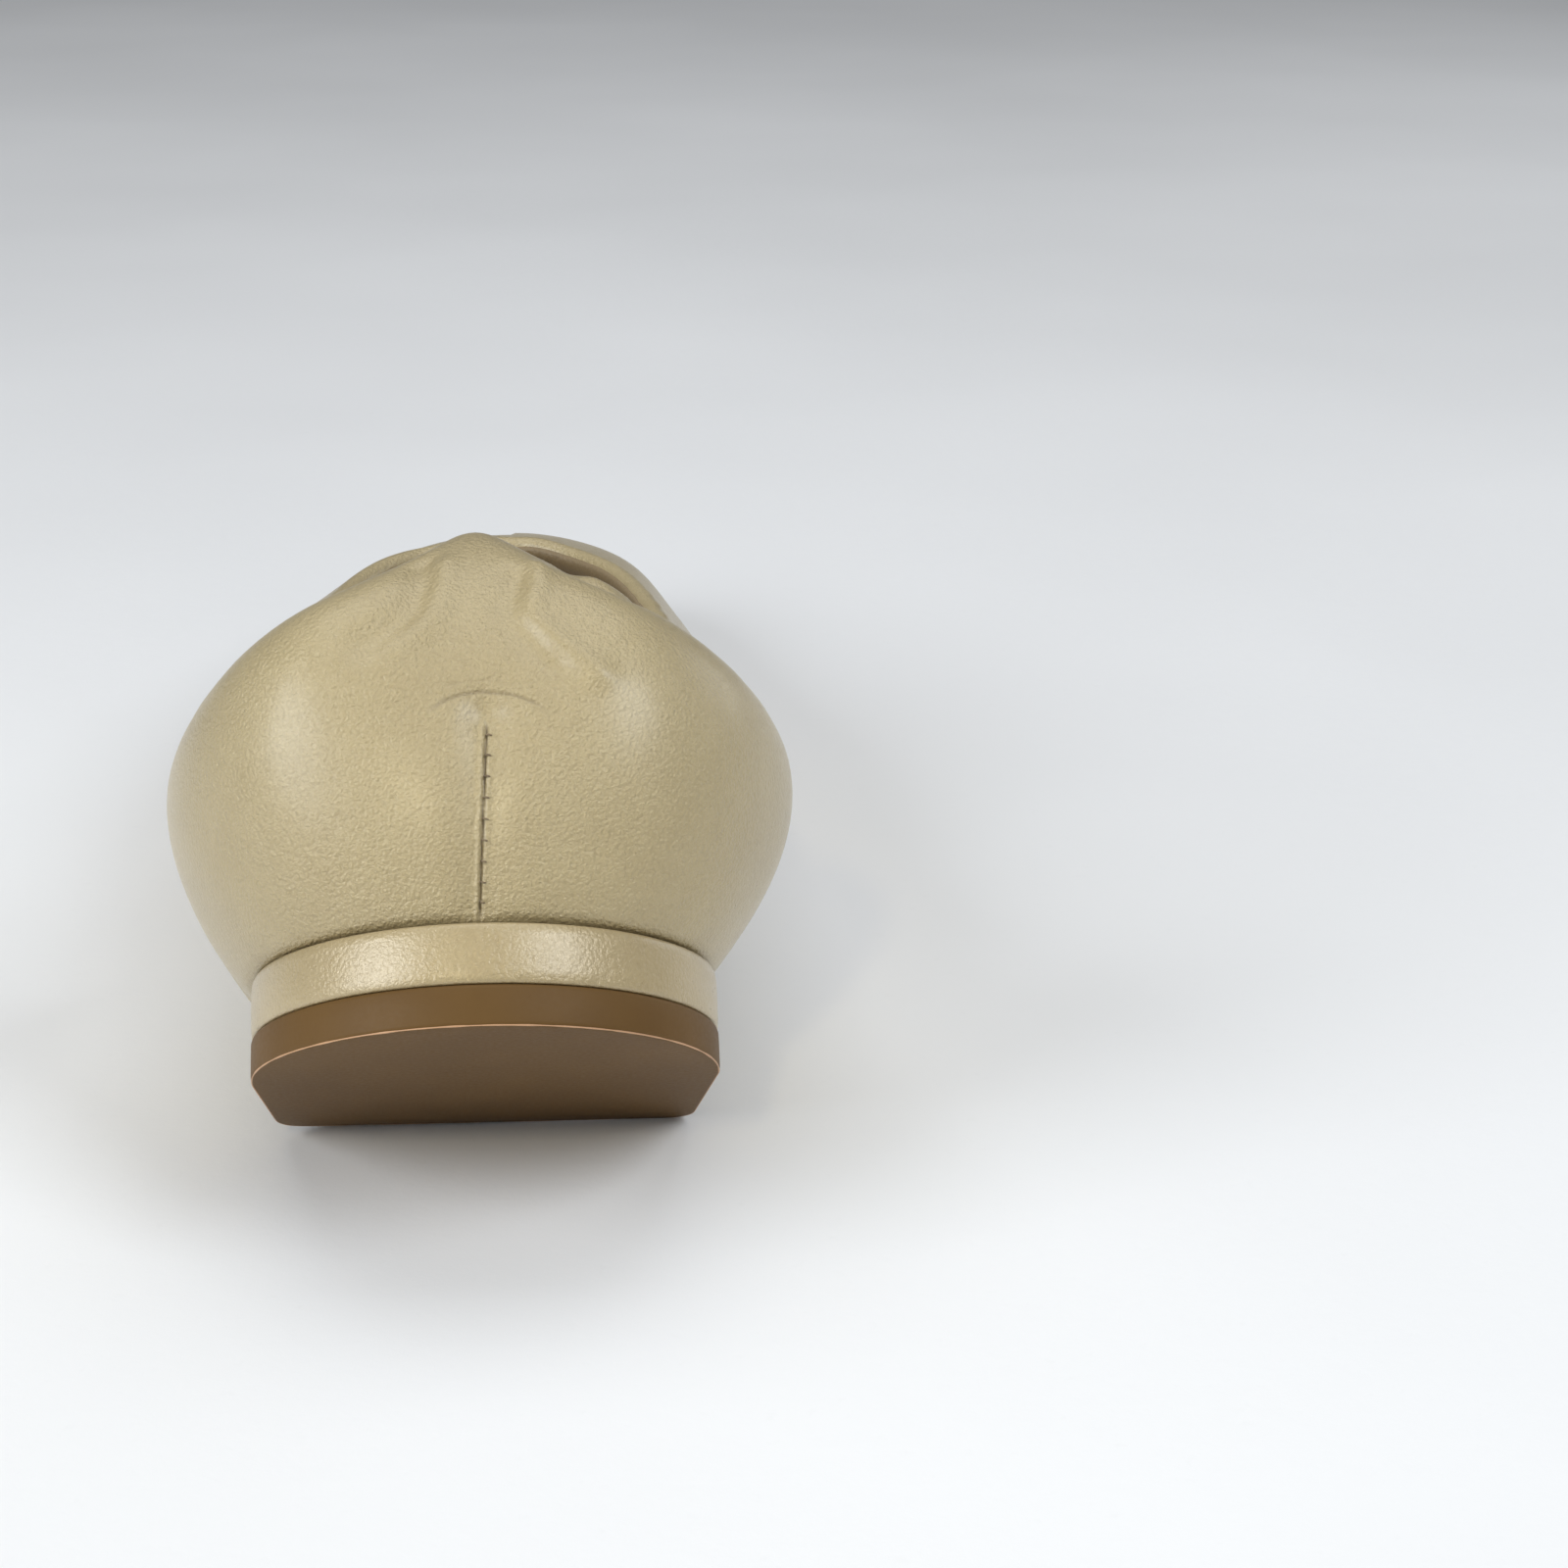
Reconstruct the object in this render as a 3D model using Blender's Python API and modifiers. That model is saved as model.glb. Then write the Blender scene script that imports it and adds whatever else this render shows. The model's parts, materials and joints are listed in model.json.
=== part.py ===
"""Ballet slipper for the left foot: an elasticated leather flat with a low covered heel.

The slipper is described in a flat frame in millimetres, as it lies when it is pulled straight:
x towards the inner side of the foot, y from heel to toe, z up from the floor. It is placed
as it lies when nobody wears it, curled up by its elastic topline, so that the heel part is
folded up about a hinge line at the waist and the slipper stands on the heel's front edge
and on the tread of the forepart. Both parts hang on empties that sit on the hinge line.
"""
import math
from collections import namedtuple

import bmesh
import bpy
import numpy as np
from mathutils import Vector

MM = 0.001
GAP = 0.3                      # clearance between pieces that touch on the real slipper

# Driving dimensions, in millimetres and degrees.
HEEL_HEIGHT = 12.0             # floor to the seam between heel and upper
LIFT_THICKNESS = 4.8
SOLE_LEVEL = 4.0               # floor to the upper's lower edge under the ball
TOE_SPRING = 4.0               # rise of that edge at the toe
BACK_HEIGHT = 62.0             # floor to the tab at the back of the topline
SIDE_HEIGHT = 36.0             # floor to the topline beside the ball
THROAT_HEIGHT = 35.0           # floor to the topline over the toes
SEAT_HALF_WIDTH = 27.7
LENGTH = 244.0

DROP_START, DROP_END = 48.0, 128.0        # where the sole comes down from heel to tread
SPRING_START, SPRING_RUN = 190.0, 55.0    # where the toe spring starts, and its run

HINGE_Y, HINGE_Z = 58.0, 10.5             # the waist fold, across the slipper
CURL = math.radians(42.9)                 # how far the elastic pulls the heel part up
FLEX_START, FLEX_END = 48.0, 92.0         # the waist bends over this stretch
SPLIT_LEAN = math.radians(28.0)           # the parting of the two parts leans towards the toe
SPLIT_HALF = math.radians(7.5)            # half of the wedge left open for folding further
SPLIT_GAP = 0.35

UPPER_THICKNESS = 1.0
STIFFENER_DEPTH, STIFFENER_THICKNESS = 1.4, 0.55
LINING_DEPTH, LINING_THICKNESS = 2.35, 0.7
INNER_DEPTH = 4.3                         # where the footbed meets the lining
BINDING_RADIUS = 1.5
EDGE_MARGIN = BINDING_RADIUS + 0.9        # the upper stops this far short of the binding's middle

DART_START, DART_END = 0.03, 0.40         # heights of the back seam, as shares of the rib
DART_LEAN = 0.05                          # ribs that it leans to the inner side
DART_RADIUS = 0.25

BREAST_Y = 54.0                           # front face of the heel
BREAST_TOUCH = 0.5                        # from there to the edge that the curled slipper stands on
TREAD_START = 98.0                        # back end of the rubber tread
HEEL_REAR_Y = -0.9
NAIL_PLACES = ((0, 9), (-14, 16), (14, 16), (-15, 38), (15, 38))
NAIL_RADIUS, NAIL_HEAD_RADIUS, NAIL_HEAD_HEIGHT = 0.9, 1.8, 0.8
HOLE_RADIUS = NAIL_RADIUS + 0.35
NAIL_HEAD_Z = HEEL_HEIGHT + 1.5 + GAP     # the heads lie on the insole board

# Layers of the sole: heights of their two faces over the seam, behind and in front of the waist.
REAR_SOCK, FORE_SOCK = (5.5, 6.2), (4.3, 5.0)
REAR_FOAM, FORE_FOAM = (2.9, 5.2), (1.6, 4.0)
REAR_BOARD, FORE_BOARD = (0.0, 1.5), (0.0, 1.3)
SOLE_COVER, COVER_INSET = (-1.1, -0.3), 0.3
TREAD, TREAD_INSET = (-SOLE_LEVEL, -1.4), 1.2
COVER_LEATHER, COVER_SETBACK, BLOCK_SETBACK = 0.9, 0.3, 1.5     # leather round the heel block

# The origin is under the middle of the whole slipper.
ORIGIN_X, ORIGIN_Y = -0.372, 124.375

# One rib of the upper: the seam point on the ground plan, the two handles that shape the wall
# (out from the wall and up, the first from the seam, the second from the topline), the topline.
Rib = namedtuple("Rib", "seam belly shoulder topline")
RIBS = (
    Rib((0, 0.8), (7, 16), (14, -8), (0, 9, BACK_HEIGHT)),
    Rib((-20, 8), (10, 14), (22, 0.7), (-12, 11, 53.6)),
    Rib((-SEAT_HALF_WIDTH, 26), (12, 14), (26, 5.5), (-19, 27, 46.2)),
    Rib((-26.5, 52), (13, 14), (22, 0.6), (-24, 54, 43.6)),
    Rib((-26, 90), (11, 14), (15, -2), (-28, 92, 40)),
    Rib((-35, 135), (6, 14), (11, -3.5), (-28.5, 130, 37)),
    Rib((-38, 170), (3, 14), (11, -8), (-23, 158, 35.6)),
    Rib((-32, 208), (4, 9), (15, -13), (-14.5, 172.5, 35)),
    Rib((-16, 236), (4, 8), (21, -18), (-7, 178, 35)),
    Rib((4, LENGTH), (4, 8.5), (24, -19), (0.5, 180, THROAT_HEIGHT)),
    Rib((21, 235), (4, 8), (20, -18.5), (8, 178, 35)),
    Rib((31, 208), (3, 8), (12.5, -14), (16.5, 171.5, 35)),
    Rib((35.5, 175), (1.5, 9.5), (8, -11), (24, 156, 35.2)),
    Rib((30.5, 143), (3, 11), (6, -7), (28.5, 128, SIDE_HEIGHT)),
    Rib((22, 100), (11, 14), (15, -2), (28, 92, 39)),
    Rib((23, 56), (13, 14), (22, 0.6), (24, 54, 43.6)),
    Rib((SEAT_HALF_WIDTH - 1, 26), (12, 14), (26.5, 4.8), (20, 27, 46.0)),
    Rib((19.5, 8), (10, 14), (21, -0.7), (12, 11, 54.4)),
)
# Stretches of ribs, counted from the back round the outer side.
QUARTER_RIBS, COUNTER_RIBS = (-4.0, 4.0), (-2.5, 2.5)
VAMP_RIBS, PUFF_RIBS, THROAT_RIBS = (3.0, 15.0), (7.5, 10.5), (3.75, 14.25)
HEEL, FORE = "heel_part", "forepart"

# Material: colour (linear), roughness, metallic.
FINISHES = {
    "upper_leather": ((0.55, 0.48, 0.32), 0.45, 0.0),
    "heel_leather": ((0.55, 0.47, 0.31), 0.42, 0.0),
    "lining_leather": ((0.20, 0.12, 0.065), 0.70, 0.0),
    "binding_leather": ((0.36, 0.29, 0.16), 0.55, 0.0),
    "lift_rubber": ((0.22, 0.14, 0.08), 0.55, 0.0),
    "tread_rubber": ((0.20, 0.13, 0.075), 0.65, 0.0),
    "sock_leather": ((0.42, 0.33, 0.21), 0.60, 0.0),
    "sole_fabric": ((0.30, 0.22, 0.13), 0.80, 0.0),
    "fibre_board": ((0.45, 0.36, 0.24), 0.90, 0.0),
    "foam": ((0.80, 0.76, 0.66), 0.95, 0.0),
    "heel_plastic": ((0.70, 0.66, 0.58), 0.50, 0.0),
    "nail_steel": ((0.55, 0.55, 0.57), 0.35, 1.0),
    "elastic_tape": ((0.75, 0.72, 0.66), 0.85, 0.0),
    "stitch_thread": ((0.33, 0.27, 0.17), 0.80, 0.0),
}


def ramp(t):
    """A smooth step from 0 to 1."""
    t = np.clip(t, 0.0, 1.0)
    return t * t * (3 - 2 * t)


def seam_height(y):
    """Height of the seam between upper and sole along the flat slipper."""
    drop = (HEEL_HEIGHT - SOLE_LEVEL) * ramp((y - DROP_START) / (DROP_END - DROP_START))
    spring = np.clip((y - SPRING_START) / SPRING_RUN, 0, 1)
    return HEEL_HEIGHT - drop + TOE_SPRING * spring ** 2


def around(rows, u):
    """A closed Catmull-Rom curve through the rows; u counts ribs from the back, outer side first."""
    rows = np.asarray(rows, float)
    first = np.floor(u).astype(int)
    f = (u - first)[:, None]
    a, b, c, d = (rows[(first + k) % len(rows)] for k in (-1, 0, 1, 2))
    return 0.5 * (2 * b + (c - a) * f + (2 * a - 5 * b + 4 * c - d) * f ** 2
                  + (3 * b - a - 3 * c + d) * f ** 3)


def rib_handles(u):
    """Seam point, two handles and topline point of each rib, as four arrays of points."""
    rows = around([(*r.seam, *r.belly, *r.shoulder, *r.topline) for r in RIBS], u)
    step = 0.02
    seams = [r.seam for r in RIBS]
    along = around(seams, u + step) - around(seams, u - step)
    out = np.stack([along[:, 1], -along[:, 0], np.zeros(len(u))], 1)
    out /= -np.linalg.norm(out, axis=1)[:, None]
    up = np.array([0.0, 0.0, 1.0])
    seam = np.stack([rows[:, 0], rows[:, 1], seam_height(rows[:, 1])], 1)
    belly = seam + out * rows[:, 2:3] + up * rows[:, 3:4]
    topline = rows[:, 6:9]
    shoulder = topline + out * rows[:, 4:5] + up * rows[:, 5:6]
    return seam, belly, shoulder, topline


def outer_wall(u, s, margin=0.0):
    """The upper's outer face: ribs u, and heights s from 0 at the seam to 1 at its top edge."""
    p0, p1, p2, p3 = (p[:, None, :] for p in rib_handles(u))
    reach = 1 - margin / (3 * np.linalg.norm(p3 - p2, axis=2))
    t = (s[None, :] * reach)[..., None]
    return (1 - t) ** 3 * p0 + 3 * (1 - t) ** 2 * t * p1 + 3 * (1 - t) * t * t * p2 + t ** 3 * p3


def wall(u, s, depth=0.0, margin=0.0):
    """The outer face moved inwards by a depth, as an array of ribs by heights."""
    step = 0.01
    along = outer_wall(u + step, s, margin) - outer_wall(u - step, s, margin)
    rise = outer_wall(u, s + step, margin) - outer_wall(u, s - step, margin)
    inward = np.cross(along, rise)
    inward /= np.linalg.norm(inward, axis=2)[..., None]
    return outer_wall(u, s, margin) + inward * depth


def placed(points, part):
    """Flat-frame points as metres about the hinge line, flexed as that part holds them at rest."""
    points = np.asarray(points, float)
    held = 1 - ramp((points[..., 1] - FLEX_START) / (FLEX_END - FLEX_START))
    angle = CURL * (held - (1 if part == HEEL else 0))
    dy = points[..., 1] - HINGE_Y
    dz = points[..., 2] - HINGE_Z
    y = dy * np.cos(angle) + dz * np.sin(angle)
    z = -dy * np.sin(angle) + dz * np.cos(angle)
    return np.stack([points[..., 0], y, z], -1) * MM


def rigid(points):
    """Flat-frame points of the heel's hard pieces as metres about the hinge line."""
    return (np.asarray(points, float) - (0, HINGE_Y, HINGE_Z)) * MM


def split_plane(part):
    """A point on the plane where the part is cut at the waist, and the plane's normal outwards."""
    lean = SPLIT_LEAN + (SPLIT_HALF if part == FORE else -SPLIT_HALF)
    if part == HEEL:
        lean -= CURL
    normal = Vector((0, math.cos(lean), -math.sin(lean)))
    if part == FORE:
        normal = -normal
    return normal * (-SPLIT_GAP * MM), normal


def finish(name):
    material = bpy.data.materials.get(name)
    if material is None:
        colour, roughness, metallic = FINISHES[name]
        material = bpy.data.materials.new(name)
        material.use_nodes = True
        shader = material.node_tree.nodes["Principled BSDF"]
        shader.inputs["Base Color"].default_value = (*colour, 1)
        shader.inputs["Roughness"].default_value = roughness
        shader.inputs["Metallic"].default_value = metallic
        material.diffuse_color = (*colour, 1)
    return material


def add_object(name, data, material, parent, collection):
    obj = bpy.data.objects.new(name, data)
    if material:
        data.materials.append(finish(material))
    obj.parent = parent
    collection.objects.link(obj)
    return obj


def mesh_object(name, bm, material, parent, collection):
    bmesh.ops.recalc_face_normals(bm, faces=bm.faces)
    mesh = bpy.data.meshes.new(name)
    bm.to_mesh(mesh)
    bm.free()
    mesh.shade_smooth()
    mesh.set_sharp_from_angle(angle=math.radians(40))
    return add_object(name, mesh, material, parent, collection)


def grid_faces(bm, points):
    """Quads over an array of points; returns the vertices in the same layout."""
    rows = [[bm.verts.new(p) for p in row] for row in points]
    for low, high in zip(rows, rows[1:]):
        for a, b, c, d in zip(low, low[1:], high[1:], high):
            bm.faces.new((a, b, c, d))
    return rows


def cut_at_waist(bm, part, closed):
    """Takes off what lies past the part's split plane, and closes a solid's cut."""
    point, normal = split_plane(part)
    geometry = bm.verts[:] + bm.edges[:] + bm.faces[:]
    cut = bmesh.ops.bisect_plane(bm, geom=geometry, dist=1e-7, plane_co=point, plane_no=normal,
                                 clear_outer=True)
    if closed:
        edges = [e for e in cut["geom_cut"] if isinstance(e, bmesh.types.BMEdge)]
        bmesh.ops.edgeloop_fill(bm, edges=edges)


def shell(name, material, parent, collection, ribs, heights, depth, thickness, cut=True):
    """A sheet of leather or board that follows the upper, from an open surface with Solidify."""
    part = parent.name
    bm = bmesh.new()
    grid_faces(bm, placed(wall(ribs, heights, depth, EDGE_MARGIN), part))
    if cut:
        cut_at_waist(bm, part, closed=False)
    mesh = bpy.data.meshes.new(name)
    bm.to_mesh(mesh)
    bm.free()
    mesh.shade_smooth()
    obj = add_object(name, mesh, material, parent, collection)
    solidify = obj.modifiers.new("thickness", "SOLIDIFY")
    solidify.thickness = thickness * MM
    solidify.offset = -1
    return obj


def plan_outline(height, depth):
    """Where the inside of the wall stands at a height over the seam: x of each side by y."""
    count, samples = 192, 40
    u = np.arange(count) * len(RIBS) / count
    curves = wall(u, np.linspace(0.0, 0.6, samples), depth)
    over = curves[..., 2] - seam_height(curves[..., 1])
    first = np.argmax(over >= height, axis=1)
    low = np.maximum(first - 1, 0)
    pick = np.arange(count)
    run = over[pick, first] - over[pick, low]
    f = np.where(first > 0, (height - over[pick, low]) / np.where(run == 0, 1, run), 0)
    points = curves[pick, low] * (1 - f[:, None]) + curves[pick, first] * f[:, None]
    half = count // 2
    outer = points[1:half]
    inner = points[half + 1:][::-1]
    return outer[:, :2], inner[:, :2], points[0, 1], points[half, 1]


def sheet_rows(y_low, y_high, count):
    """Places along the slipper, closer together at the two ends."""
    half_turns = np.linspace(0, math.pi, count)
    return y_low + (y_high - y_low) * (1 - np.cos(half_turns)) / 2


def sole_sheet(name, material, parent, collection, low, high, depth, y_range, inset=0.0, rows=22):
    """A layer of the sole between two heights over the seam, cut at the waist."""
    part = parent.name
    faces = []
    for height in (low, high):
        outer, inner, rear, front = plan_outline(max(height, 0.0), depth)
        start = max(y_range[0], rear + inset + 0.5)
        end = min(y_range[1], front - inset - 0.7)
        ys = sheet_rows(start, end, rows)
        left = np.interp(ys, outer[:, 1], outer[:, 0]) + inset
        right = np.interp(ys, inner[:, 1], inner[:, 0]) - inset
        across = np.linspace(0, 1, 5)[None, :]
        x = left[:, None] * (1 - across) + right[:, None] * across
        y = np.repeat(ys[:, None], 5, axis=1)
        faces.append(placed(np.stack([x, y, seam_height(y) + height], -1), part))
    bm = bmesh.new()
    bottom, top = (grid_faces(bm, f) for f in faces)
    rim_low, rim_high = (r[0][:-1] + [row[-1] for row in r[:-1]] + r[-1][:0:-1]
                         + [row[0] for row in r[:0:-1]] for r in (bottom, top))
    for a, b, c, d in zip(rim_low, rim_low[1:] + rim_low[:1], rim_high[1:] + rim_high[:1], rim_high):
        bm.faces.new((a, b, c, d))
    bmesh.ops.recalc_face_normals(bm, faces=bm.faces)
    cut_at_waist(bm, part, closed=True)
    return mesh_object(name, bm, material, parent, collection)


def rounded_corner(before, corner, after, radius, steps=3):
    """Points of a quadratic arc that replaces a corner."""
    corner = Vector(corner)
    start = corner + (Vector(before) - corner).normalized() * radius
    end = corner + (Vector(after) - corner).normalized() * radius
    turns = [k / steps for k in range(steps + 1)]
    return [tuple(start * (1 - t) ** 2 + corner * 2 * t * (1 - t) + end * t * t) for t in turns]


def heel_outline(inset):
    """The heel's D-shaped plan: round at the back, nearly straight across its front."""
    half = SEAT_HALF_WIDTH - inset
    middle = 28.0
    depth = middle - HEEL_REAR_Y - inset
    turns = np.linspace(0, math.pi, 25)
    back = [(half * math.cos(a), middle - depth * math.sin(a)) for a in turns]
    outer_corner = (-(half - 1.0), BREAST_Y - 1.0 - inset)
    inner_corner = (half - 2.2, BREAST_Y + 1.0 - inset)
    corners = rounded_corner(back[-1], outer_corner, inner_corner, 4)
    corners += rounded_corner(outer_corner, inner_corner, back[0], 4)
    return back + corners


def heel_prism(name, material, parent, collection, inset, z_low, z_high, bevel=0.0):
    """A flat piece of the heel's plan with its edges broken."""
    bm = bmesh.new()
    outline = [bm.verts.new(p) for p in rigid([(x, y, z_low) for x, y in heel_outline(inset)])]
    face = bm.faces.new(outline)
    lifted = bmesh.ops.extrude_face_region(bm, geom=[face])["geom"]
    tops = [v for v in lifted if isinstance(v, bmesh.types.BMVert)]
    bmesh.ops.translate(bm, verts=tops, vec=(0, 0, (z_high - z_low) * MM))
    obj = mesh_object(name, bm, material, parent, collection)
    if bevel:
        edge = obj.modifiers.new("edge", "BEVEL")
        edge.width = bevel * MM
        edge.segments = 1
        edge.limit_method = "ANGLE"
        edge.angle_limit = math.radians(60)
    return obj


def heel_band(name, material, parent, collection, inset, thickness, z_low, z_high):
    """The leather that is wrapped round the heel block, as an open strip with Solidify."""
    outline = heel_outline(inset + thickness)
    outline.append(outline[0])
    bm = bmesh.new()
    grid_faces(bm, rigid([[(x, y, z) for x, y in outline] for z in (z_low, z_high)]))
    bmesh.ops.remove_doubles(bm, verts=bm.verts, dist=1e-6)
    obj = mesh_object(name, bm, material, parent, collection)
    solidify = obj.modifiers.new("thickness", "SOLIDIFY")
    solidify.thickness = thickness * MM
    solidify.offset = 1
    solidify.use_even_offset = True
    return obj


def nail(name, material, parent, collection, x, y, z_tip, z_head):
    """A turned nail: flat head, round shank and a short point."""
    profile = ((0.0, z_head + NAIL_HEAD_HEIGHT), (NAIL_HEAD_RADIUS, z_head + NAIL_HEAD_HEIGHT),
               (NAIL_HEAD_RADIUS, z_head), (NAIL_RADIUS, z_head), (NAIL_RADIUS, z_tip + 1.2), (0.0, z_tip))
    mesh = bpy.data.meshes.new(name)
    edges = [(k, k + 1) for k in range(len(profile) - 1)]
    mesh.from_pydata([(r * MM, 0, (z - z_head) * MM) for r, z in profile], edges, [])
    obj = add_object(name, mesh, material, parent, collection)
    obj.location = rigid((x, y, z_head))
    screw = obj.modifiers.new("turn", "SCREW")
    screw.steps = screw.render_steps = 10
    screw.use_merge_vertices = True
    screw.merge_threshold = 0.00001
    return obj


def nail_cutter(parent, collection, z_low, z_high):
    """All the nail holes as one cutter."""
    bm = bmesh.new()
    for x, y in NAIL_PLACES:
        made = bmesh.ops.create_cone(bm, cap_ends=True, segments=12, radius1=HOLE_RADIUS * MM,
                                     radius2=HOLE_RADIUS * MM, depth=(z_high - z_low) * MM)
        bmesh.ops.translate(bm, verts=made["verts"], vec=rigid((x, y, (z_low + z_high) / 2)))
    cutter = mesh_object("nail_holes", bm, None, parent, collection)
    cutter.hide_render = True
    cutter.display_type = "WIRE"
    return cutter


def drill(obj, cutter):
    hole = obj.modifiers.new("nail_holes", "BOOLEAN")
    hole.operation = "DIFFERENCE"
    hole.solver = "EXACT"
    hole.object = cutter


def tube(name, material, parent, collection, points, radius):
    """A round bead along a line of points."""
    curve = bpy.data.curves.new(name, "CURVE")
    curve.dimensions = "3D"
    curve.bevel_depth = radius * MM
    curve.bevel_resolution = 2
    curve.use_fill_caps = True
    spline = curve.splines.new("POLY")
    spline.points.add(len(points) - 1)
    for spot, point in zip(spline.points, points):
        spot.co = (*point, 1)
    return add_object(name, curve, material, parent, collection)


def topline_tube(name, material, parent, collection, ribs):
    """The binding along the part's stretch of the topline."""
    part = parent.name
    line = placed(wall(ribs, np.array([1.0]), (UPPER_THICKNESS + LINING_DEPTH) / 2)[:, 0], part)
    point, normal = split_plane(part)
    clear = [Vector(p) for p in line if (Vector(p) - point).dot(normal) < -0.5 * BINDING_RADIUS * MM]
    return tube(name, material, parent, collection, clear, BINDING_RADIUS)


def rib_steps(stretch):
    """Four steps from each rib to the next over a stretch of the upper."""
    return np.linspace(*stretch, round(4 * (stretch[1] - stretch[0])) + 1)


def inner_band(what, parent, collection, stretch, heights):
    """A piece between the upper and its lining; what holds its name, material, depth, thickness."""
    name, material, depth, thickness = what
    shell(name, material, parent, collection, rib_steps(stretch), heights, depth, thickness, cut=False)


def dart_seam(name, material, parent, collection):
    """The thread of the short seam that shapes the back, standing just clear of the leather."""
    turns = np.linspace(0, 1, 9)
    points = []
    for turn in turns:
        rib = np.array([-DART_LEAN * turn])
        height = np.array([DART_START + (DART_END - DART_START) * turn])
        points.append(wall(rib, height, -DART_RADIUS - GAP, EDGE_MARGIN)[0, 0])
    tube(name, material, parent, collection, placed(points, HEEL), DART_RADIUS)


def build_uppers(heel, fore, parts):
    """The leather upper, its lining, stiffeners, elastic and binding."""
    rear, front = rib_steps(QUARTER_RIBS), rib_steps(VAMP_RIBS)
    heights = np.array([*np.linspace(0, 0.875, 8), 0.94, 1.0])
    layers = (("upper", "upper_leather", 0.0, UPPER_THICKNESS),
              ("lining", "lining_leather", LINING_DEPTH, LINING_THICKNESS))
    for layer, material, depth, thickness in layers:
        shell("quarter_" + layer, material, heel, parts, rear, heights, depth, thickness)
        shell("vamp_" + layer, material, fore, parts, front, heights, depth, thickness)
    board = ("fibre_board", STIFFENER_DEPTH, STIFFENER_THICKNESS)
    tape = ("elastic_tape", STIFFENER_DEPTH, STIFFENER_THICKNESS)
    band = np.array([0.875, 0.94, 0.985])
    inner_band(("heel_counter", *board), heel, parts, COUNTER_RIBS, heights[:6])
    inner_band(("toe_puff", *board), fore, parts, PUFF_RIBS, heights[:5])
    inner_band(("heel_elastic", *tape), heel, parts, COUNTER_RIBS, band)
    inner_band(("throat_elastic", *tape), fore, parts, THROAT_RIBS, band)
    topline_tube("quarter_binding", "binding_leather", heel, parts, rear)
    topline_tube("vamp_binding", "binding_leather", fore, parts, front)
    dart_seam("dart_thread", "stitch_thread", heel, parts)


def build_sole(heel, fore, parts, cutter):
    """The layers under the foot, from the footbed down to the tread."""
    rear = (0.0, HINGE_Y + 6)
    front = (HINGE_Y - 4, LENGTH)
    inside = INNER_DEPTH

    def rear_sheet(name, material, faces, depth, inset=0.0):
        return sole_sheet(name, material, heel, parts, *faces, depth, rear, inset, rows=14)

    def fore_sheet(name, material, faces, depth, inset=0.0, stretch=front):
        return sole_sheet(name, material, fore, parts, *faces, depth, stretch, inset)

    rear_sheet("heel_sock", "sock_leather", REAR_SOCK, inside)
    rear_sheet("heel_pad", "foam", REAR_FOAM, inside)
    board = rear_sheet("insole_board_rear", "fibre_board", REAR_BOARD, inside)
    cover = rear_sheet("sole_cover_rear", "sole_fabric", SOLE_COVER, 0.0, COVER_INSET)
    fore_sheet("forepart_sock", "sock_leather", FORE_SOCK, inside)
    fore_sheet("forepart_cushion", "foam", FORE_FOAM, inside)
    fore_sheet("insole_board_fore", "fibre_board", FORE_BOARD, inside)
    fore_sheet("sole_cover_fore", "sole_fabric", SOLE_COVER, 0.0, COVER_INSET)
    fore_sheet("tread_pad", "tread_rubber", TREAD, 0.0, TREAD_INSET, (TREAD_START, LENGTH))
    drill(board, cutter)
    drill(cover, cutter)


def build_heel(heel, parts, cutter):
    """The heel block with its leather, its rubber lift and the nails that hold it."""
    top = HEEL_HEIGHT + SOLE_COVER[0] - 2 * GAP
    bottom = LIFT_THICKNESS + GAP
    heel_prism("top_lift", "lift_rubber", heel, parts, 0.0, 0.0, LIFT_THICKNESS, bevel=0.35)
    block = heel_prism("heel_block", "heel_plastic", heel, parts, BLOCK_SETBACK, bottom, top)
    drill(block, cutter)
    heel_band("heel_cover", "heel_leather", heel, parts, COVER_SETBACK, COVER_LEATHER, bottom, top)
    for number, (x, y) in enumerate(NAIL_PLACES, 1):
        nail("heel_nail_%d" % number, "nail_steel", heel, parts, x, y, bottom + 0.8, NAIL_HEAD_Z)


def resting_line():
    """The line that touches the curled slipper from below, at the heel's front edge and the tread.

    Returns its slope in the forepart's frame and a point on it.
    """
    dy, dz = BREAST_Y + BREAST_TOUCH - HINGE_Y, -HINGE_Z
    y = HINGE_Y + dy * math.cos(CURL) + dz * math.sin(CURL)
    z = HINGE_Z - dy * math.sin(CURL) + dz * math.cos(CURL)
    tread = np.linspace(TREAD_START, DROP_END, 61)
    slopes = (z - (seam_height(tread) - SOLE_LEVEL)) / (tread - y)
    return math.atan(slopes.max()), y, z


def add_empties(collection):
    """The origin, the forepart and, folded up from it, the heel part; both turn at the hinge."""
    tilt, y, z = resting_line()
    back, high = HINGE_Y - y, HINGE_Z - z
    origin = bpy.data.objects.new("slipper_origin", None)
    fore = bpy.data.objects.new(FORE, None)
    heel = bpy.data.objects.new(HEEL, None)
    for empty in (origin, fore, heel):
        empty.empty_display_size = 0.02
        collection.objects.link(empty)
    fore.parent = origin
    heel.parent = fore
    hinge_y = y + back * math.cos(tilt) - high * math.sin(tilt)
    hinge_z = back * math.sin(tilt) + high * math.cos(tilt)
    fore.location = Vector((-ORIGIN_X, hinge_y - ORIGIN_Y, hinge_z)) * MM
    fore.rotation_euler.x = tilt
    heel.rotation_euler.x = -CURL
    return heel, fore


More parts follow.
